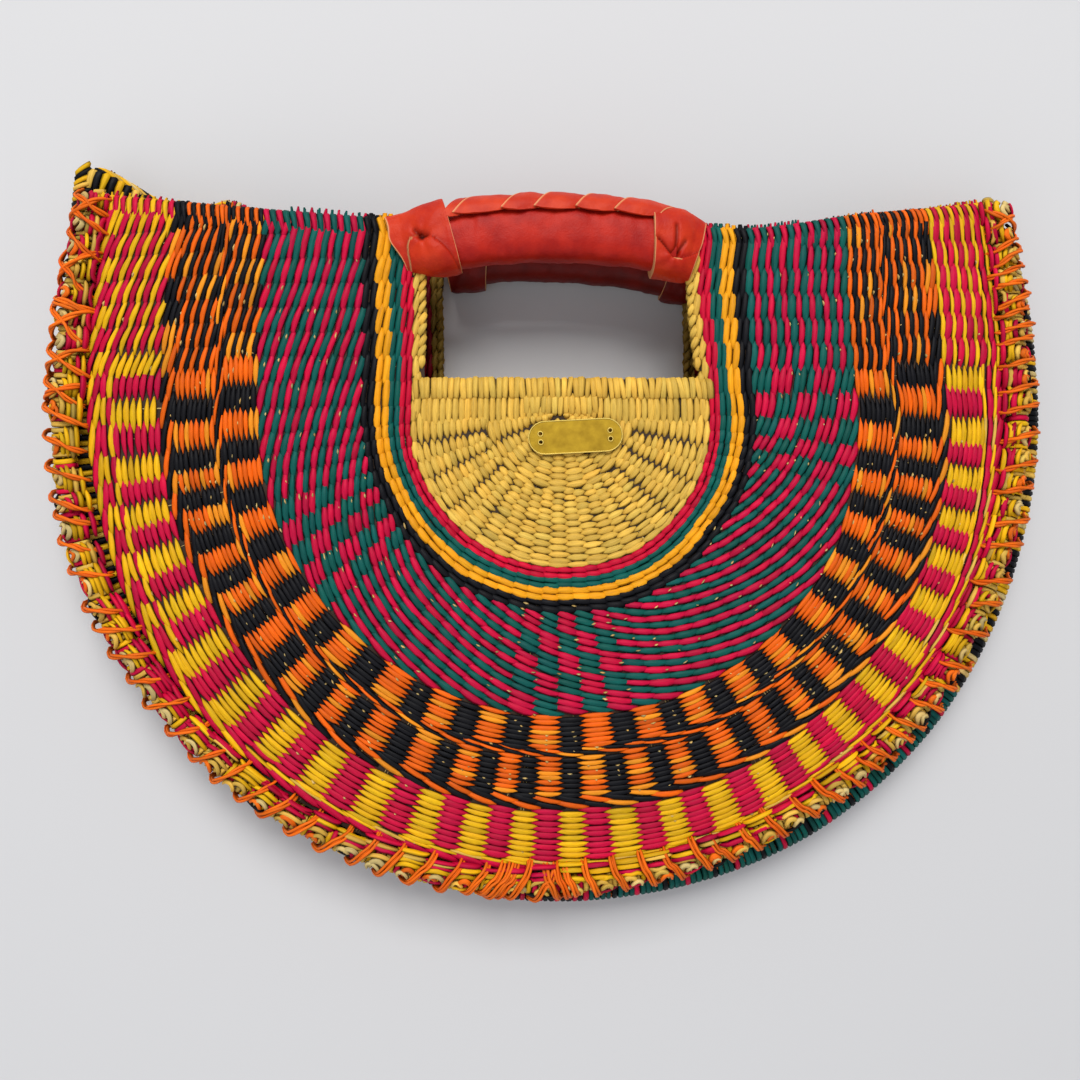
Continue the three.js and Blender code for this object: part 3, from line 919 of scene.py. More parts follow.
for half, panel in ((frontHalf, "front_panel"), (backHalf, "back_panel")):
    random = np.random.default_rng(7 if half is frontHalf else 11)
    rows = listRows(half)
    stitches = gatherStitches(half, rows)
    zone = np.array(stitches["zone"])
    inner = np.isin(zone, ["disc", "red", "teal", "gold", "black", "field"])
    middle = np.isin(zone, ["block", "threads", "coal", "cords"])
    made = []
    for label, keep in (("heart", inner), ("blocks", middle), ("sun", ~(inner | middle))):
        chosen = chooseStitches(stitches, keep)
        straw = outerStraws[half["name"]]
        made.append(weaveStitches(f"{panel}_{label}_weave", half, chosen, straw, 1, random))
    made.append(weaveStitches(f"{panel}_inner_weave", half, stitches, innerStraw, -1, random))
    made.append(weaveTurns(f"{panel}_edge_turns", half, rows, random))
    made.append(weaveStems(f"{panel}_stems", half, random))
    made.append(weaveSpecks(f"{panel}_specks", half, stitches, random))
    for piece in made:
        finishPiece(piece, strawWeave, "straw_weave", panel)
    sheet = shadeSheet(f"{panel}_shade", half, panel)
    finishPiece(sheet, shadeStraw, "straw_weave", panel)
    print(panel, "woven,", len(stitches["dye"]), "stitches")


# Whipping over the sill of the hand opening: how each turn goes up over it and through the wall. A few
# more turns lie below it in the middle.
sill = {
    "pitch": 2.3,
    "width": 3.0,
    "depth": 1.5,
    "past": 3.5,
    "at": [0, 0.12, 0.3, 0.42, 0.5, 0.58, 0.7, 0.88, 1],
    "up": [-8.3, -7.2, -2.6, -0.2, 0.75, -0.2, -2.6, -7.2, -8.3],
    "height": [0.3, 1.9, 2.5, 1.9, 0, -1.9, -2.5, -1.9, -0.3],
    "lowTurns": 13,
    "lowFrom": -13,
    "lowTo": 15,
    "lowDrop": 6.4,
    "overHeight": 0.46,
}


def whipSill(name, half, random):
    u = (turnStraw["places"] + 1) / 2
    goUp = np.interp(u, sill["at"], sill["up"])
    goHeight = np.interp(u, sill["at"], sill["height"])
    turn = np.interp(u, [0, 0.3, 0.5, 0.7, 1], [0, 0.3, math.pi / 2, math.pi - 0.3, math.pi])
    fromX = -opening["half"] - sill["past"]
    toX = opening["half"] + opening["splay"] + sill["past"]
    count = int((toX - fromX) / sill["pitch"])
    low = np.concatenate([np.zeros(count), np.ones(sill["lowTurns"])])[:, None]
    lowX = np.linspace(sill["lowFrom"], sill["lowTo"], sill["lowTurns"])
    x = np.concatenate([np.linspace(fromX, toX, count), lowX])[:, None]
    count = len(x)
    x = x + random.normal(0, 0.18, (count, 1))
    lean = random.normal(0, 0.35, (count, 1)) + np.where(x > 15, 0.5, 0)
    x = x + lean * np.cos(u * 2 * math.pi)[None, :]
    y = opening["sill"] + goUp[None, :] - sill["lowDrop"] * low + random.normal(0, 0.22, (count, 1))
    x, y = tilted(half, x, y)
    lift = wallLift(half, np.hypot(x, y), x, y)
    height = goHeight[None, :] * (1 - 0.2 * low) * random.normal(1, 0.06, (count, 1))
    if half["over"]:
        height = np.where(height > 0, height * sill["overHeight"], height)
    spots = np.stack([x, y, lift + height], axis=-1)
    sides = np.zeros_like(spots) + np.array([1.0, 0, 0])
    flat = 0 * x
    ups = np.stack([flat, np.sin(turn)[None, :] + flat, np.cos(turn)[None, :] + flat], axis=-1)
    widths = sill["width"] * np.interp(u, [0, 0.15, 0.85, 1], [0.5, 1, 1, 0.5])[None, :]
    widths = widths * random.normal(1, 0.09, (count, 1))
    depths = np.full((count, len(u)), sill["depth"])
    colours = mixColours(["natural"] * count, random, 0.12)
    return layOnHalf(name, turnStraw, half, spots, sides, ups, widths, depths, colours, random)


# A smooth line through a few points, read at even steps
def smoothLine(points, count):
    p = np.asarray(points, float)
    p = np.concatenate([2 * p[:1] - p[1:2], p, 2 * p[-1:] - p[-2:-1]])
    t = np.linspace(0, len(p) - 3 - 1e-6, count)
    i = t.astype(int)
    f = (t - i)[:, None]
    a, b, c, d = p[i], p[i + 1], p[i + 2], p[i + 3]
    square, cube = 2 * a - 5 * b + 4 * c - d, 3 * b - a - 3 * c + d
    return 0.5 * (2 * b + (c - a) * f + square * f ** 2 + cube * f ** 3)


# Straws along free paths in metres, each with a direction that it faces, and widths in millimetres
def layFree(name, straw, lines, faces, widths, depths, colours, random):
    paths = np.array(lines)
    along = unit(np.gradient(paths, axis=1))
    ups = np.array(faces)
    ups = unit(ups - (ups * along).sum(axis=2, keepdims=True) * along)
    widths, depths = np.array(widths), np.array(depths)
    return layStraws(name, straw, paths, np.cross(ups, along), ups, widths, depths, colours, random)


# The braided border. Each cell lies over one spoke: straws curl round a knot of cream stems.
# Points are (share of a cell along, radius beyond the wall, height over the seam side of the roll).
border = {
    "middle": 6.3,
    "wrapPitch": 2.45,
    "wrapDepth": 1.35,
    "wrapTurn": math.radians(172),
    "wrapReach": {"front": 4.3, "back": 5.6},
    "wrapHeight": 3.1,
    "reachAt": [-170, -120, -75, -55, -35, -15, 8, 30, 50, 75, 110, 170],
    "reach": [3.0, 4.0, 6.0, 2.8, 2.2, -0.8, -3.0, -2.0, 0.4, 0.4, 0.6, 0.4],
    "backReach": [1.0, 1.0, 1.0, 0.8, 0.0, -1.4, -1.4, 0.6, 0.4, -2.0, -2.2, 0.2],
    "rollMiddle": 4.6,
    "strands": [
        ("arc", 2.3, [
            (-0.54, -2.4, 1.2), (-0.34, -3.2, 3.2), (0, -3.7, 4.1), (0.32, -3.2, 3.6), (0.54, -2, 1.8)]),
        ("bend", 2.3, [
            (-0.52, 0, 1.8), (-0.3, -0.9, 3.8), (0, -1.4, 4.7), (0.3, -0.9, 4.3), (0.5, 0.4, 2.4)]),
        ("arc", 2.2, [
            (-0.5, 2.5, 2), (-0.28, 1.4, 4.2), (0, 0.8, 5.1), (0.28, 1.5, 4.7), (0.46, 3, 2.8)]),
        ("bend", 2.1, [
            (-0.46, 5, 1.8), (-0.26, 3.7, 4.4), (0, 3, 5.5), (0.24, 3.8, 5), (0.38, 5.6, 3)]),
        ("cream", 2.4, [
            (-0.32, 8.8, 1.4), (-0.25, 6.6, 4.2), (-0.07, 5.2, 5.3), (0.1, 6.2, 4.9), (0.1, 8.6, 3)]),
        ("cream", 2.2, [
            (-0.12, 9.8, 1.2), (-0.03, 8, 4), (0.12, 6.9, 4.7), (0.25, 7.8, 3.9), (0.23, 9.8, 1.4)]),
        ("tail", 1.9, [
            (-0.4, 9.6, 0.2), (-0.1, 10, 2.2), (0.2, 9.6, 2.4), (0.48, 9, 0.4)]),
    ],
    "tailsLeftOut": 0.3,
    "depth": {"arc": 1.5, "bend": 1.5, "cream": 1.9, "tail": 1.5},
    "dyes": {"arc": ("pink", "pink", "yellow"), "bend": ("yellow", "yellow", "natural", "pink"),
             "cream": ("cream", "natural", "cream", "lash"), "tail": ("pink", "yellow", "pink", "black")},
}


def borderBase(half, s):
    if half["over"]:
        return half["radius"] + np.interp(-s, border["reachAt"], border["backReach"])
    return half["radius"] + np.interp(s, border["reachAt"], border["reach"])


def braidBorder(name, half, random):
    lines, faces, widths, depths, names = [], [], [], [], []
    kind = spokes["outer"]
    middle = half["radius"] + border["middle"]
    s = np.concatenate([-(90 + kind["left"][::-1]), kind["arc"], 90 + kind["right"]])
    along = ringLength(s, middle)
    ends = [side * (89 + float(topEdge(half, half["radius"], side))) for side in (-1, 1)]
    first, last = ringLength(np.array(ends), middle)
    count = len(longStraw["places"])
    profile = np.interp(np.linspace(0, 1, count), [0, 0.12, 0.5, 0.85, 1], [0.45, 0.9, 1.08, 0.9, 0.5])
    for place, gap in zip(along, np.gradient(along)):
        way = -1 if place < 0 else 1
        swell = random.normal(1, 0.12)
        squeeze = random.normal(1, 0.10)
        turn = random.normal(0, 0.5)
        for part, width, points in border["strands"]:
            if part == "tail" and random.random() < border["tailsLeftOut"]:
                continue
            p = smoothLine(points, count)
            jitter = random.normal(0, 0.5, 3)
            ringAlong = place + way * (p[:, 0] * gap * swell) + jitter[0] + turn * (p[:, 1] - 5) * 0.25
            ringAlong = np.clip(ringAlong, first + random.uniform(0, 1.5), last - random.uniform(0, 1.5))
            ringS = ringPlace(ringAlong, middle)
            base = borderBase(half, ringS)
            beyond = border["rollMiddle"] + (p[:, 1] - border["rollMiddle"]) * squeeze + jitter[1] * 0.6
            spot, _, _, normal = wallFrame(half, ringS, base + beyond, False)
            spot = spot + normal * (p[:, 2] + jitter[2] * 0.4)[:, None]
            centre = wallFrame(half, ringS, base + border["rollMiddle"], False)[0]
            lines.append(toScene(half, spot))
            faces.append(turnToScene(half, spot - centre + normal * 1.5))
            widths.append(width * profile * random.normal(1, 0.12))
            depths.append(np.full(count, border["depth"][part]))
            names.append(border["dyes"][part][int(random.integers(len(border["dyes"][part])))])
    return layFree(name, longStraw, lines, faces, widths, depths, mixColours(names, random, 0.14), random)


# Straws wrapped round the border roll, in the colours of its stretches, which end at these s
stretches = [
    (-8, ("black", "yellow", "black", "natural", "yellow")),
    (2, ("black", "black", "pink")),
    (57, ("teal", "teal", "teal", "pink", "teal", "teal", "teal", "black", "teal")),
]


def wrapDye(half, s, number, random):
    if not half["over"]:
        return ("natural", "yellow", "pink", "natural")[number % 4]
    for end, names in stretches:
        if -s < end:
            return names[number % len(names)]
    return boldDyes[int(random.integers(len(boldDyes)))]


def wrapBorder(name, half, random):
    middle = half["radius"] + border["middle"]
    ends = [side * (90.5 + float(topEdge(half, half["radius"], side))) for side in (-1, 1)]
    start, end = ringLength(np.array(ends), middle)
    count = int((end - start) / border["wrapPitch"])
    along = np.linspace(start, end, count)
    rings = len(turnStraw["places"])
    angle = np.linspace(-border["wrapTurn"], border["wrapTurn"], rings)
    swell = np.interp(np.minimum(along - start, end - along), [0, 5, 24], [0.45, 0.6, 1])
    tilt = random.normal(0.25, 0.12, count)
    lean = 3.2 * (1 - smoothStep((end - along) / 20)) if half["over"] else 0 * along
    drift = along[:, None] + tilt[:, None] * 1.6 * np.sin(angle)[None, :]
    s = ringPlace(drift + lean[:, None] * np.cos(angle)[None, :] * -0.6, middle)
    wide = border["wrapReach"][half["name"]]
    pull = np.where(end - along < 24, -3.2, 3.5) if half["over"] else 3.5 + 0 * along
    beyond = wide + 0.7 + wide * np.cos(angle)[None, :] * swell[:, None] - ((1 - swell) * pull)[:, None]
    spot, out, forward, normal = wallFrame(half, s, borderBase(half, s) + beyond, False)
    high = border["wrapHeight"] * np.sin(angle)[None, :] * swell[:, None]
    height = high * random.normal(1, 0.05, (count, 1))
    ups = unit(out * np.cos(angle)[None, :, None] * 0.8 + normal * np.sin(angle)[None, :, None])
    widths = np.full((count, rings), border["wrapPitch"] * 1.04) * random.normal(1, 0.06, (count, 1))
    depths = np.full((count, rings), border["wrapDepth"])
    places = ringPlace(along, half["radius"])
    names = [wrapDye(half, float(s), number, random) for number, s in enumerate(places)]
    spots, colours = spot + normal * height[..., None], mixColours(names, random, 0.13)
    return layOnHalf(name, turnStraw, half, spots, forward, ups, widths, depths, colours, random)


# Lashing that sews the two borders together. "arc" and "straight" say where each loop goes over the
# edge, and "straight" also where it enters. "route" is a half, how far along the loop, how often the
# dip and the bulge of that loop count, how far beyond the wall and how high over it, in millimetres.
lashing = {
    "arc": [
        -88, -84.5, -81, -79, -76, -72.5, -68, -65.5, -62, -58.5, -55, -51, -47, -43.5, -40, -37, -33,
        -29, -25, -21.5, -18, -14, -11, -9.2, -8.2, -7.2, -5.6, -2.6, 0.2, 1.4, 2.5, 5, 8.5, 12, 15.5,
        19, 22, 25.5, 29, 33.5, 37, 40, 43, 45, 48, 50, 53, 56, 59, 63.5, 67.5, 70.5, 75, 78, 82, 85, 88.5,
    ],
    "straight": [
        (-182, -173), (-176, -166), (-172, -180), (-167, -155), (-155, -140), (-148, -158), (-139, -134),
        (-137, -133), (-135, -120), (-126, -134), (-118, -107), (-111, -118), (-105, -95), (-99, -103),
        (-94.5, -89), (96.5, 92.5), (105.5, 100.5), (116, 111.5), (125.5, 121.5), (131, 127),
        (138, 133), (144, 137), (149, 146), (156, 150), (163, 154), (168, 160), (172, 178), (177, 169),
    ],
    "route": [
        (frontHalf, 0, 1, 0, -0.6, 0.2),
        (frontHalf, 0.03, 1, 0, 0.8, 3.4),
        (frontHalf, 0.22, 1, 0, 4.4, 6.0),
        (frontHalf, 0.5, 0, 0, 4.4, 6.9),
        (frontHalf, 0.78, 0, 0.5, 8.6, 5.0),
        (frontHalf, 1.0, 0, 1, 11.0, 1.0),
        (frontHalf, 1.35, 0, 1, 10.8, -3.0),
        (backHalf, 1.3, 0, 0.4, 11.2, 2.2),
        (backHalf, 0.9, 0, 0, 9.2, 4.9),
        (backHalf, 0.4, 0, 0, 3.6, 5.4),
        (backHalf, 0.04, 1, 0, 0.6, 2.2),
        (backHalf, 0, 1, 0, -0.8, -0.8),
    ],
    "dip": 3.6,
    "bulgeAt": [-170, -150, -110, -60, -30, -10, 20, 45, 60, 100, 170],
    "bulge": [0.4, 1.2, 1.6, 1.4, 1.0, 0.6, 0.4, 1.6, 2.6, 2.6, 1.0],
    "width": 1.45,
    "depth": 1.6,
    "lean": 2.1,
    "rightLean": 0.75,
    "twoPly": {"starts": (0, math.pi), "twist": 15.0, "spread": 1},
    "flat": {"starts": (0, 2.1, 4.2), "twist": 4.5, "spread": 1.6},
    "flatWithin": 40,
    "apart": 1.25,
}


# A place on a half's border for the lashing, in scene millimetres; mix runs from the inner to the outer end
def lashPlace(half, outer, inner, mix, beyond, height):
    flip = -1 if half["over"] else 1
    radius = half["radius"] + beyond
    along = flip * (float(ringLength(outer, radius)) * mix + float(ringLength(inner, radius)) * (1 - mix))
    s = float(ringPlace(along, radius))
    spot, _, _, normal = wallFrame(half, s, float(borderBase(half, s)) + beyond, False)
    return toScene(half, spot + normal * height) * 1000


def lashBorders(name, random):
    lines, faces, widths, depths, names = [], [], [], [], []
    count = len(cordStraw["places"])
    u = np.linspace(0, 1, count)
    thin = np.interp(u, [0, 0.05, 0.95, 1], [0.6, 1, 1, 0.6])
    leans = [lashing["lean"] * (1 if s < 0 else -lashing["rightLean"]) for s in lashing["arc"]]
    loops = [(s, s + lean) for s, lean in zip(lashing["arc"], leans)] + lashing["straight"]
    for outer, inner in loops:
        dip = lashing["dip"] + random.normal(0, 0.7)
        bulge = float(np.interp(outer, lashing["bulgeAt"], lashing["bulge"])) + random.normal(0, 0.4)
        entry = inner + random.normal(0, 0.5) * 0.3
        centre = smoothLine([
            lashPlace(half, outer, entry, mix, beyond + bulge * bulges - dip * dips, height)
            for half, mix, dips, bulges, beyond, height in lashing["route"]], count)
        core = lashPlace(frontHalf, outer, inner, 0.6, 5.0, -3.0)
        along = unit(np.gradient(centre, axis=0))
        away = centre - core
        away = unit(away - (away * along).sum(axis=1, keepdims=True) * along)
        aside = np.cross(away, along)
        start = random.uniform(0, 6.28)
        cord = lashing["flat" if abs(outer) < lashing["flatWithin"] else "twoPly"]
        for bit in cord["starts"]:
            turn = start + bit + u * cord["twist"]
            ply = aside * np.cos(turn)[:, None] * cord["spread"] + away * 0.7 * np.sin(turn)[:, None]
            lines.append((centre + ply * lashing["apart"] / 2) / 1000)
            faces.append(away)
            widths.append(lashing["width"] * thin * random.normal(1, 0.06))
            depths.append(np.full(count, lashing["depth"]))
            names.append("lash" if random.random() < 0.8 else "orange")
    return layFree(name, cordStraw, lines, faces, widths, depths, mixColours(names, random, 0.10), random)


# A sheaf of thin twisted straws along the raised corner of the back
sheaf = {"from": 148, "past": 3.5, "twist": 17, "wide": 1.3, "thick": 1.5}


def edgeSheaf(name, half, random):
    count = len(cordStraw["places"])
    u = np.linspace(0, 1, count)
    radius = sheaf["from"] + (half["radius"] + sheaf["past"] - sheaf["from"]) * u
    lines, faces = [], []
    names = ("natural", "black", "yellow", "natural", "yellow", "cream")
    for number in range(len(names)):
        turn = number * math.pi / 3 + u * sheaf["twist"]
        s = 90 + topEdge(half, radius, 1) - 1.0 + 1.0 * np.cos(turn)
        place, _, forward, normal = wallFrame(half, s, radius, False)
        lines.append(toScene(half, place + normal * (sheaf["wide"] * np.sin(turn))[:, None]))
        faces.append(turnToScene(half, normal * np.sin(turn)[:, None] + forward * np.cos(turn)[:, None]))
    widths = np.full((len(lines), count), sheaf["thick"])
    return layFree(name, cordStraw, lines, faces, widths, widths, mixColours(names, random, 0.1), random)


corner = edgeSheaf("back_panel_corner_sheaf", backHalf, np.random.default_rng(31))
finishPiece(corner, strawBorder, "straw_border", "back_rim")

for half, panel, rim in ((frontHalf, "front_panel", "front_rim"), (backHalf, "back_panel", "back_rim")):
    random = np.random.default_rng(21 if half is frontHalf else 23)
    finishPiece(whipSill(f"{panel}_sill_whipping", half, random), strawWeave, "straw_weave", panel)
    finishPiece(wrapBorder(f"{rim}_wraps", half, random), strawBorder, "straw_border", rim)
    finishPiece(braidBorder(f"{rim}_braid", half, random), strawBorder, "straw_border", rim)
cords = lashBorders("border_lashing", np.random.default_rng(29))
finishPiece(cords, strawBorder, "straw_border", "front_rim", "back_rim")
print("borders braided and lashed")

# The handles, in millimetres: x along, y up from the ring centre square to the handle, z off its middle
handle = {
    "height": 67.0, "bow": 5.5, "tall": 11.0, "deep": 8.3, "end": 47.0, "roundness": 2.7, "floorGap": 0.3,
    "tuckPitch": 6.8, "tuckDepth": 0.16, "dentAt": -34, "dentWidth": 1.6, "dentDepth": 0.05,
}


def handleLine(x):
    return handle["height"] + handle["bow"] * (1 - np.minimum(1, np.abs(x) / opening["half"]) ** 2)


# The back handle's far side stays just over the floor
def handleToScene(half, x, y, z):
    lifted = z + float(wallLift(half, opening["half"], *tilted(half, 0, handle["height"])))
    if half["over"]:
        lifted = np.minimum(lifted, wall["ringCentre"][2] - handle["floorGap"])
    x, y = tilted(half, x, y)
    return toScene(half, np.stack([x, y, lifted + 0 * x], axis=-1))


# Soft waves in many directions, about one size apart, between -1 and 1
def softNoise(points, size, seed):
    random = np.random.default_rng(seed)
    value = 0
    for octave in range(3):
        for _ in range(6):
            way = random.normal(0, 1, points.shape[-1])
            way *= 2 * math.pi * 2 ** octave / size / np.linalg.norm(way)
            value = value + np.sin(points @ way + random.uniform(0, 6.28)) / 2 ** octave / 4
    return value


def rounded(value, roundness):
    return np.sign(value) * np.abs(value) ** (2 / roundness)


# Says of each vertex how far it is a pale cut edge or a rim with a painted highlight, and how far it is dark
# with painted shade
def markEdgeAndPaintedLight(piece, cut, dark):
    edgeAndPaintedLight = piece.data.attributes.new("edgeAndPaintedLight", "FLOAT_COLOR", "POINT")
    values = np.stack([cut, dark, 0 * cut, 0 * cut + 1], axis=-1)
    edgeAndPaintedLight.data.foreach_set("color", values.ravel())
    piece.data.update()


# Bends a tube: shape gives each vertex its place, its pale cut edge and its painted shade
def bendTube(name, sides, cuts, shape):
    piece = namePiece(modelTube(sides, cuts), name)
    spots = readSpots(piece)
    points, cut, dark = shape(spots[:, 0] + 0.5, np.arctan2(spots[:, 1], spots[:, 2]))
    piece.data.vertices.foreach_set("co", points.ravel())
    markEdgeAndPaintedLight(piece, cut, dark)
    bpy.ops.object.shade_smooth_by_angle(angle=math.radians(50))
    return piece


paleCut = (0.86, 0.63, 0.42)
# Painted shade in the leather's holes and creases and beside its flap edges
paintedShadeColour = (0.10, 0.02, 0.02)


# Leather: blotches of two colours under fine grain and soft creases, pale where it is cut, and dark with
# painted shade in holes, creases and beside flap edges
def makeLeather(name, colour, deepColour):
    material, nodes, links, shader = newMaterial(name)
    coords = addNode(nodes, "TexCoord")
    patches = addNode(nodes, "TexNoise", {"Scale": 95, "Detail": 5, "Roughness": 0.55})
    grain = addNode(nodes, "TexVoronoi", {"Scale": 1500})
    creases = addNode(nodes, "TexNoise", {"Scale": 420, "Detail": 6, "Roughness": 0.7})
    ramp = addRamp(nodes, (0.34, 0.66), (toLinear(deepColour), toLinear(colour)))
    edgeAndPaintedLight = addNode(nodes, "Attribute", attribute_name="edgeAndPaintedLight")
    parts = addNode(nodes, "SeparateColor")
    edged, shadeCover = addCover(nodes, paleCut), addCover(nodes, paintedShadeColour)
    fine = addNode(nodes, "Bump", {"Strength": 0.16, "Distance": 0.0003})
    soft = addNode(nodes, "Bump", {"Strength": 0.35, "Distance": 0.0006})
    joinNodes(
        links,
        (coords, "Object", patches, "Vector"),
        (coords, "Object", grain, "Vector"),
        (coords, "Object", creases, "Vector"),
        (patches, "Fac", ramp, "Fac"),
        (edgeAndPaintedLight, "Color", parts, "Color"),
        (parts, "Red", edged, "Factor"),
        (ramp, "Color", edged, "A"),
        (parts, "Green", shadeCover, "Factor"),
        (edged, "Result", shadeCover, "A"),
        (shadeCover, "Result", shader, "Base Color"),
        (grain, "Distance", fine, "Height"),
        (creases, "Fac", soft, "Height"),
        (fine, "Normal", soft, "Normal"),
        (soft, "Normal", shader, "Normal"),
    )
    shader.inputs["Roughness"].default_value = 0.5
    shader.inputs["Specular IOR Level"].default_value = 0.2
    return material


leatherWrap = makeLeather("leatherWrap", (0.72, 0.12, 0.04), (0.60, 0.06, 0.03))
leatherCap = makeLeather("leatherCap", (0.78, 0.20, 0.07), (0.68, 0.11, 0.04))
leatherLace = makeLeather("leatherLace", (0.80, 0.23, 0.10), (0.70, 0.14, 0.05))
# The back handle: the same red leather, darker as painted shade
leatherBackPaintedShade = makeLeather("leatherBackPaintedShade", (0.46, 0.06, 0.03), (0.36, 0.04, 0.02))


def wrapHandle(name, half, seed):
    def shape(share, angle):
        x = (share * 2 - 1) * handle["end"]
        up = handle["tall"] * rounded(np.sin(angle), handle["roundness"])
        front = handle["deep"] * rounded(np.cos(angle), handle["roundness"])
        spots = np.stack([x, up, front], axis=-1)
        tucks = np.sin(x * 2 * math.pi / handle["tuckPitch"] + softNoise(spots, 30, seed))
        tucks = tucks * smoothStep((up + 2) / 12) * handle["tuckDepth"]
        waves = 0.28 * softNoise(spots * np.array([1.6, 0.5, 0.5]), 22, seed + 1)
        swell = 1 + (tucks + waves + 0.12 * softNoise(spots * np.array([2.4, 1, 1]), 9, seed + 2)) / 10
        dent = bell(x, handle["dentAt"], handle["dentWidth"]) * smoothStep((up + 8) / 10)
        swell = swell - handle["dentDepth"] * dent
        none = np.zeros(len(x))
        return handleToScene(half, x, handleLine(x) + up * swell, front * swell), none, none
    sides, rings = (48, 71) if half["over"] else (60, 101)
    return bendTube(name, sides, np.linspace(-1, 1, rings)[1:-1], shape)


# A cap is drawn between its lower and upper outlines, from the wrap outwards, on the long side.
# The flap is a raised lobe, and the edge is its pale cut side.
longCap = {
    "lower": [(38.5, 56.9), (41.0, 56.0), (47.3, 55.2), (52.5, 55.3), (57.4, 56.4), (60.2, 56.9)],
    "upper": [(46.0, 84.6), (47.4, 85.6), (55.9, 82.8), (63.0, 80.2), (69.6, 78.7)],
    "depth": [10.4, 10.4, 9.6, 7.6, 5.6, 4.9],
    "flap": [(55.0, 69.3), (56.7, 69.2), (58.7, 67.9), (59.4, 63.6), (58.8, 58.7), (58.6, 50), (36, 50),
             (38.5, 55), (39.8, 57.2), (43.1, 62.4), (46.6, 65.9), (50.0, 68.2), (53.6, 69.3)],
    "edge": [(55.4, 69.3), (56.7, 69.2), (58.4, 68.2), (59.2, 65.6), (59.4, 62.4), (58.9, 58.8),
             (58.6, 55)],
    "folds": [[(53.6, 69.0), (51.4, 68.8)], [(57.0, 71.5), (55.2, 69.8)]],
    "belly": 2.0,
    "hole": (54.1, 68.8),
    "bulge": (50.0, 61.5),
}
shortCap = {
    "lower": [(37.9, 55.6), (40.8, 55.0), (46.9, 54.0), (50.4, 53.6), (53.0, 53.9)],
    "upper": [(38.0, 83.3), (44.5, 83.3), (51.3, 82.3), (56.3, 79.8), (60.4, 77.2)],
    "depth": [10.4, 10.4, 9.8, 8.0, 6.0, 4.9],
    "flap": [(36, 70.5), (40.0, 67.6), (43.0, 64.0), (45.7, 61.4), (48.7, 60.9), (52.0, 62.0), (58.0, 65.0),
             (64, 50), (36, 50)],
    "edge": [(45.9, 60.9), (47.2, 60.5), (48.6, 60.5)],
    "folds": [[(39.5, 68.3), (43.0, 64.4), (45.4, 62.0)], [(47.0, 73.9), (46.9, 69.0), (46.4, 64.0)],
              [(50.6, 67.8), (48.6, 65.2), (47.2, 63.2)]],
    "belly": 0.6,
    "hole": (46.2, 62.9),
    "bulge": (47.0, 57.6),
}


def distanceToLine(points, line):
    best = np.full(len(points), 1e9)
    for a, b in zip(np.array(line[:-1], float), np.array(line[1:], float)):
        t = np.clip(((points - a) @ (b - a)) / ((b - a) @ (b - a)), 0, 1)
        best = np.minimum(best, np.linalg.norm(points - (a + t[:, None] * (b - a)), axis=1))
    return best


def insideOutline(points, outline):
    inside = np.zeros(len(points), bool)
    for (ax, ay), (bx, by) in zip(outline, outline[1:] + outline[:1]):
        crosses = (ay > points[:, 1]) != (by > points[:, 1])
        at = ax + (points[:, 1] - ay) / (by - ay + 1e-12) * (bx - ax)
        inside ^= crosses & (points[:, 0] < at)
    return inside


def lineAt(points, share):
    line = smoothLine(points, 200)
    place = np.linspace(0, 1, 200)
    return np.stack([np.interp(share, place, line[:, axis]) for axis in range(line.shape[1])], axis=-1)


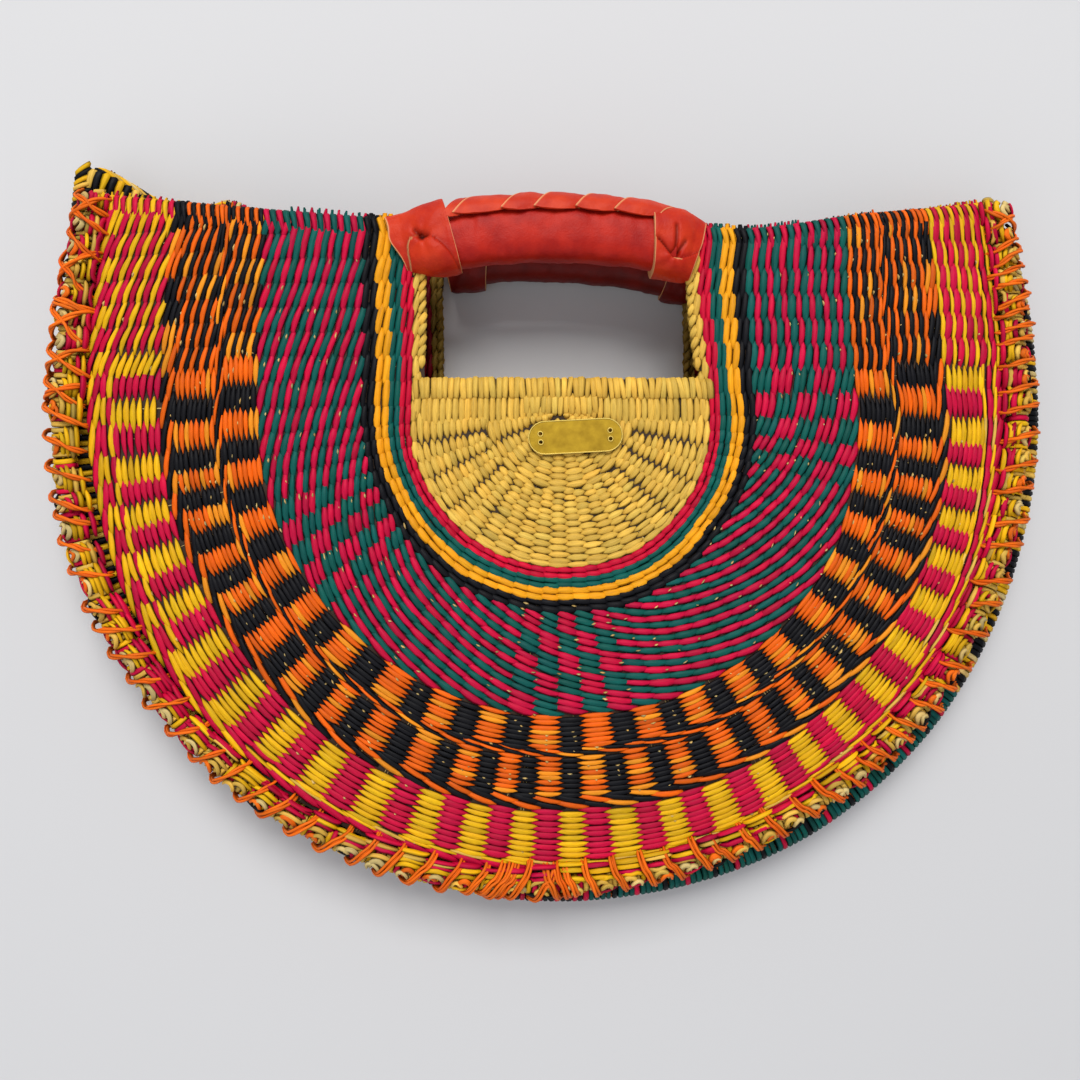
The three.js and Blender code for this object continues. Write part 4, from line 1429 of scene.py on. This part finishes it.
def foldCap(name, half, side, cap, seed):
    def shape(share, angle):
        share = share if side > 0 else 1 - share
        lower = lineAt(cap["lower"], share)
        upper = lineAt(cap["upper"], share)
        deep = np.interp(share, np.linspace(0, 1, len(cap["depth"])), cap["depth"])
        up = rounded(np.sin(angle), 2.5)
        front = rounded(np.cos(angle), 2.5)
        flat = (lower + upper) / 2 + (upper - lower) / 2 * up[:, None]
        solid = np.stack([flat[:, 0], flat[:, 1], front * deep], axis=-1)
        within = insideOutline(flat, cap["flap"])
        edge = distanceToLine(flat, cap["flap"] + cap["flap"][:1])
        facing = smoothStep((front - 0.05) / 0.35)
        raised = np.where(within, smoothStep(0.4 + edge / 0.7), smoothStep(0.4 - edge / 0.7)) * 1.9
        fromBulge = flat - np.array(cap["bulge"])
        bulge = 1.1 * np.exp(-(fromBulge[:, 0] / 7) ** 2 - (fromBulge[:, 1] / 4.5) ** 2)
        fromHole = flat - np.array(cap["hole"])
        toHole = np.linalg.norm(fromHole, axis=1)
        hole = bell(toHole, 0, 1.7)
        crease = bell(np.min([distanceToLine(flat, line) for line in cap["folds"]], axis=0), 0, 0.9)
        belly = cap["belly"] * bell(flat[:, 1], 68, 4.5) * smoothStep((share - 0.6) / 0.4)
        spin = np.arctan2(fromHole[:, 1], fromHole[:, 0])
        pull = np.sin(spin * 7 + seed) * np.exp(-toHole / 5.5) * (1 - bell(toHole, 0, 2)) * 0.45
        height = (raised + bulge - 3.2 * hole - 1.3 * crease + pull) * facing
        height = height + 0.35 * softNoise(solid, 16, seed) + 0.12 * softNoise(solid, 6, seed + 1)
        z = front * deep + height * np.sign(front) * np.abs(front) ** 0.5
        away = up * np.abs(up) ** 3
        y = flat[:, 1] + away * 0.25 * softNoise(solid, 9, seed + 2)
        cut = np.maximum(1 - smoothStep(share / 0.025), 1 - smoothStep((1 - share) / 0.03))
        cut = np.maximum(cut, np.exp(-(distanceToLine(flat, cap["edge"]) / 0.32) ** 4) * facing)
        # Painted shade: dark in the hole, along the creases and just outside the flap's edge, where shade
        # would fall
        under = np.where(within, 0, np.exp(-edge / 0.8))
        shaded = np.maximum(0.6 * crease ** 2, 0.45 * under)
        dark = np.maximum(np.exp(-(toHole / 1.5) ** 4), shaded) * facing
        return handleToScene(half, side * (flat[:, 0] + belly), y, z), cut, dark
    places = np.linspace(0.05, 0.95, 40 if half["over"] else 64)
    places = np.concatenate([[0.007, 0.02, 0.03], places, [0.965, 0.98, 0.993]])
    return bendTube(name, 92 if half["over"] else 132, places * 2 - 1, shape)


# The lace: flat turns over the ridge of the handle, each with its cut end on the turn before it
lace = {
    "turns": [(-46.0, -37.5), (-41.3, -20.0), (-22.3, -7.0), (-9.2, 9.0), (7.2, 24.6), (22.6, 40.5)],
    "ridge": [(7.4, 7.4), (6.7, 10.6), (3.6, 13.1), (0, 14.0), (-3.6, 13.1), (-6.7, 10.6), (-7.4, 7.4)],
    "slant": 20.0,
    "thick": 1.15,
    "middle": 7.0,
    "tuckAt": [0, 0.08, 0.3, 0.65, 0.9, 1],
    "lift": [1.55, 1.45, 1.25, 0.75, 0.2, 0.0],
    "narrow": 0.055,
    "cutEdge": 0.035,
}


def laceHandle(name, half, seed):
    turns = []
    for number, (start, end) in enumerate(lace["turns"]):
        clearSelection()
        bpy.ops.mesh.primitive_grid_add(x_subdivisions=22, y_subdivisions=20, size=1, location=(0, 0, 0))
        turn = bpy.context.object
        spots = readSpots(turn)
        u, v = spots[:, 0] + 0.5, spots[:, 1] + 0.5
        tuck = lace["narrow"] * np.sin(math.pi * np.clip(u * 1.05, 0, 1)) ** 0.7
        place = np.clip(v + (0.5 - v) * 2 * (lace["narrow"] - tuck), 0, 1)
        ridge = lineAt(lace["ridge"], place)
        away = unit(ridge - np.array([0, lace["middle"]]))
        lift = np.interp(u, lace["tuckAt"], lace["lift"])
        lift = lift + 0.22 * softNoise(np.stack([u * 15 + number * 40, v * 20], axis=-1), 9, seed + number)
        ridge = ridge + away * lift[:, None]
        x = start + (end - start) * u + lace["slant"] * (v - 0.04)
        points = handleToScene(half, x, handleLine(x) + ridge[:, 1], ridge[:, 0])
        turn.data.vertices.foreach_set("co", points.ravel())
        toEnd = np.minimum(u, 1 - u)
        cut = 1 - smoothStep(toEnd / lace["cutEdge"])
        markEdgeAndPaintedLight(turn, cut if number else cut * 0, u * 0)
        shell = turn.modifiers.new("thickness", "SOLIDIFY")
        shell.thickness = lace["thick"] / 1000
        shell.offset = -1 if half["over"] else 1
        bpy.ops.object.modifier_apply(modifier=shell.name)
        turns.append(turn)
    clearSelection()
    for turn in turns:
        turn.select_set(True)
    bpy.context.view_layer.objects.active = turns[0]
    bpy.ops.object.join()
    piece = namePiece(bpy.context.object, name)
    bpy.ops.object.mode_set(mode="EDIT")
    bpy.ops.mesh.select_all(action="SELECT")
    bpy.ops.mesh.normals_make_consistent(inside=False)
    bpy.ops.object.mode_set(mode="OBJECT")
    bpy.ops.object.shade_smooth_by_angle(angle=math.radians(40))
    return piece


# Straws bundled inside the handle: how many lie at each distance from its middle
core = {"end": 53, "rings": [(1, 0.0), (6, 2.3), (11, 4.5)], "twist": 0.06, "tall": 1.25, "thick": 2.4}


def bundleCore(name, half, random):
    count = len(longStraw["places"])
    x = np.linspace(-core["end"], core["end"], count)
    lines, faces = [], []
    for ring, radius in core["rings"]:
        for k in range(ring):
            angle = 2 * math.pi * k / ring + core["twist"] * x + radius
            up, front = radius * core["tall"] * np.sin(angle), radius * np.cos(angle)
            lines.append(handleToScene(half, x, handleLine(x) + up, front))
            faces.append(turnToScene(half, np.stack([0 * x, up, front + 0.01], axis=-1)))
    widths = np.full((len(lines), count), core["thick"])
    colours = mixColours(["natural"] * len(lines), random, 0.12)
    return layFree(name, longStraw, lines, faces, widths, widths, colours, random)


# The plate, with a raised rim and rims round its holes, which are brighter as a painted highlight
def stampPlate():
    piece = copyNode("label_plate", "label_plate_stamped")
    bpy.ops.object.mode_set(mode="EDIT")
    bpy.ops.mesh.select_all(action="SELECT")
    bpy.ops.mesh.dissolve_limited(angle_limit=math.radians(1))
    bpy.ops.mesh.select_all(action="DESELECT")
    bpy.ops.object.mode_set(mode="OBJECT")
    top = max((piece.matrix_world @ vertex.co).z for vertex in piece.data.vertices)
    for face in piece.data.polygons:
        face.select = abs((piece.matrix_world @ face.center).z - top) < 0.0001 and face.normal.z > 0.9
    bpy.ops.object.mode_set(mode="EDIT")
    bpy.ops.mesh.select_mode(type="FACE")
    bpy.ops.mesh.inset(thickness=0.00035, depth=0)
    bpy.ops.mesh.inset(thickness=0.00015, depth=-0.00025)
    bpy.ops.object.mode_set(mode="OBJECT")
    soften = piece.modifiers.new("soften", "BEVEL")
    soften.width = 0.00015
    soften.segments = 2
    soften.angle_limit = math.radians(40)
    bpy.ops.object.modifier_apply(modifier=soften.name)
    bpy.ops.object.shade_flat()
    height = np.array([(piece.matrix_world @ vertex.co).z for vertex in piece.data.vertices])
    # Painted highlight: the top of the raised rims gets a brighter brass
    markEdgeAndPaintedLight(piece, smoothStep((height - top + 0.0002) / 0.0001), 0 * height)
    return piece


def makeBrass():
    material, nodes, links, shader = newMaterial("plateBrass")
    coords = addNode(nodes, "TexCoord")
    cloud = addNode(nodes, "TexNoise", {"Scale": 260, "Detail": 6})
    ramp = addRamp(nodes, (0.3, 0.7), (toLinear((0.60, 0.47, 0.07)), toLinear((0.72, 0.58, 0.13))))
    edgeAndPaintedLight = addNode(nodes, "Attribute", attribute_name="edgeAndPaintedLight")
    parts = addNode(nodes, "SeparateColor")
    # Brighter brass on the rims, a painted highlight
    rim = addCover(nodes, (0.84, 0.73, 0.36))
    brushed = addNode(nodes, "TexNoise", {"Scale": 2600})
    bump = addNode(nodes, "Bump", {"Strength": 0.12, "Distance": 0.0001})
    joinNodes(
        links,
        (coords, "Object", cloud, "Vector"),
        (cloud, "Fac", ramp, "Fac"),
        (edgeAndPaintedLight, "Color", parts, "Color"),
        (parts, "Red", rim, "Factor"),
        (ramp, "Color", rim, "A"),
        (rim, "Result", shader, "Base Color"),
        (coords, "Object", brushed, "Vector"),
        (brushed, "Fac", bump, "Height"),
        (bump, "Normal", shader, "Normal"),
    )
    shader.inputs["Metallic"].default_value = 0.7
    shader.inputs["Roughness"].default_value = 0.44
    return material


for half, longSide, shortSide in ((frontHalf, "left", "right"), (backHalf, "right", "left")):
    name = half["name"]
    seed = 40 if half is frontHalf else 60
    random = np.random.default_rng(seed)
    # The back handle's pieces take the darker leather, which is painted shade
    leathers = (leatherBackPaintedShade,) * 3 if half["over"] else (leatherWrap, leatherLace, leatherCap)
    straws = bundleCore(f"{name}_core_straws", half, random)
    finishPiece(straws, strawBorder, "straw_core", f"{name}_handle_core")
    wrap = wrapHandle(f"{name}_leather_wrap", half, seed)
    finishPiece(wrap, leathers[0], "leather_wrap", f"{name}_handle_wrap")
    laced = laceHandle(f"{name}_leather_lace", half, seed + 5)
    finishPiece(laced, leathers[1], "leather_lace", f"{name}_handle_lace")
    cap = foldCap(f"{name}_long_cap", half, -1, longCap, seed + 9)
    finishPiece(cap, leathers[2], "leather_cap", f"{name}_handle_cap_{longSide}")
    cap = foldCap(f"{name}_short_cap", half, 1, shortCap, seed + 12)
    finishPiece(cap, leathers[2], "leather_cap", f"{name}_handle_cap_{shortSide}")
finishPiece(stampPlate(), makeBrass(), "plate_brass", "label_plate")
print("handles and plate made")

# Camera, light and floor. The camera's place is from the ring centre, in millimetres, its turn is in
# degrees, and its focal length is in pixels of the photo.
view = {
    "place": (-24.47, -45.67, 425.38), "turn": (-0.753, -2.408, -0.176), "focal": 996.2, "pixels": 1080,
    "sensor": 36,
}
cameraData = bpy.data.cameras.new("camera")
cameraData.sensor_width = view["sensor"]
cameraData.lens = view["sensor"] * view["focal"] / view["pixels"]
cameraData.clip_start = 0.01
camera = bpy.data.objects.new("camera", cameraData)
camera.location = (Vector(wall["ringCentre"]) + Vector(view["place"])) / 1000
camera.rotation_euler = [math.radians(a) for a in view["turn"]]
bpy.context.scene.collection.objects.link(camera)
bpy.context.scene.camera = camera


def addLight(name, place, target, size, power, colour):
    data = bpy.data.lights.new(name, "AREA")
    data.size = size
    data.energy = power
    data.color = colour
    lamp = bpy.data.objects.new(name, data)
    lamp.location = place
    lamp.rotation_euler = (Vector(target) - Vector(place)).to_track_quat("-Z", "Y").to_euler()
    bpy.context.scene.collection.objects.link(lamp)


addLight("window", (-0.1, 1.45, 2.0), (0, 0, 0), 1.2, 53, (1.0, 0.985, 0.96))
addLight("fill", (-0.5, -0.9, 1.3), (0, 0, 0), 1.6, 7, (0.96, 0.98, 1.0))
world = bpy.data.worlds.new("daylight")
world.use_nodes = True
sky = world.node_tree.nodes["Background"]
sky.inputs["Color"].default_value = (0.93, 0.95, 1.0, 1)
sky.inputs["Strength"].default_value = 0.42
bpy.context.scene.world = world
bpy.context.scene.view_settings.view_transform = "Standard"

clearSelection()
bpy.ops.mesh.primitive_plane_add(size=6, location=(0, 0, -0.0005))
floor = bpy.context.object
floor.name = "floor"
floorMaterial, _, _, floorShader = newMaterial("paleCloth")
floorShader.inputs["Base Color"].default_value = (0.60, 0.60, 0.61, 1)
floorShader.inputs["Roughness"].default_value = 0.9
floor.data.materials.append(floorMaterial)
print("camera, light and floor set")
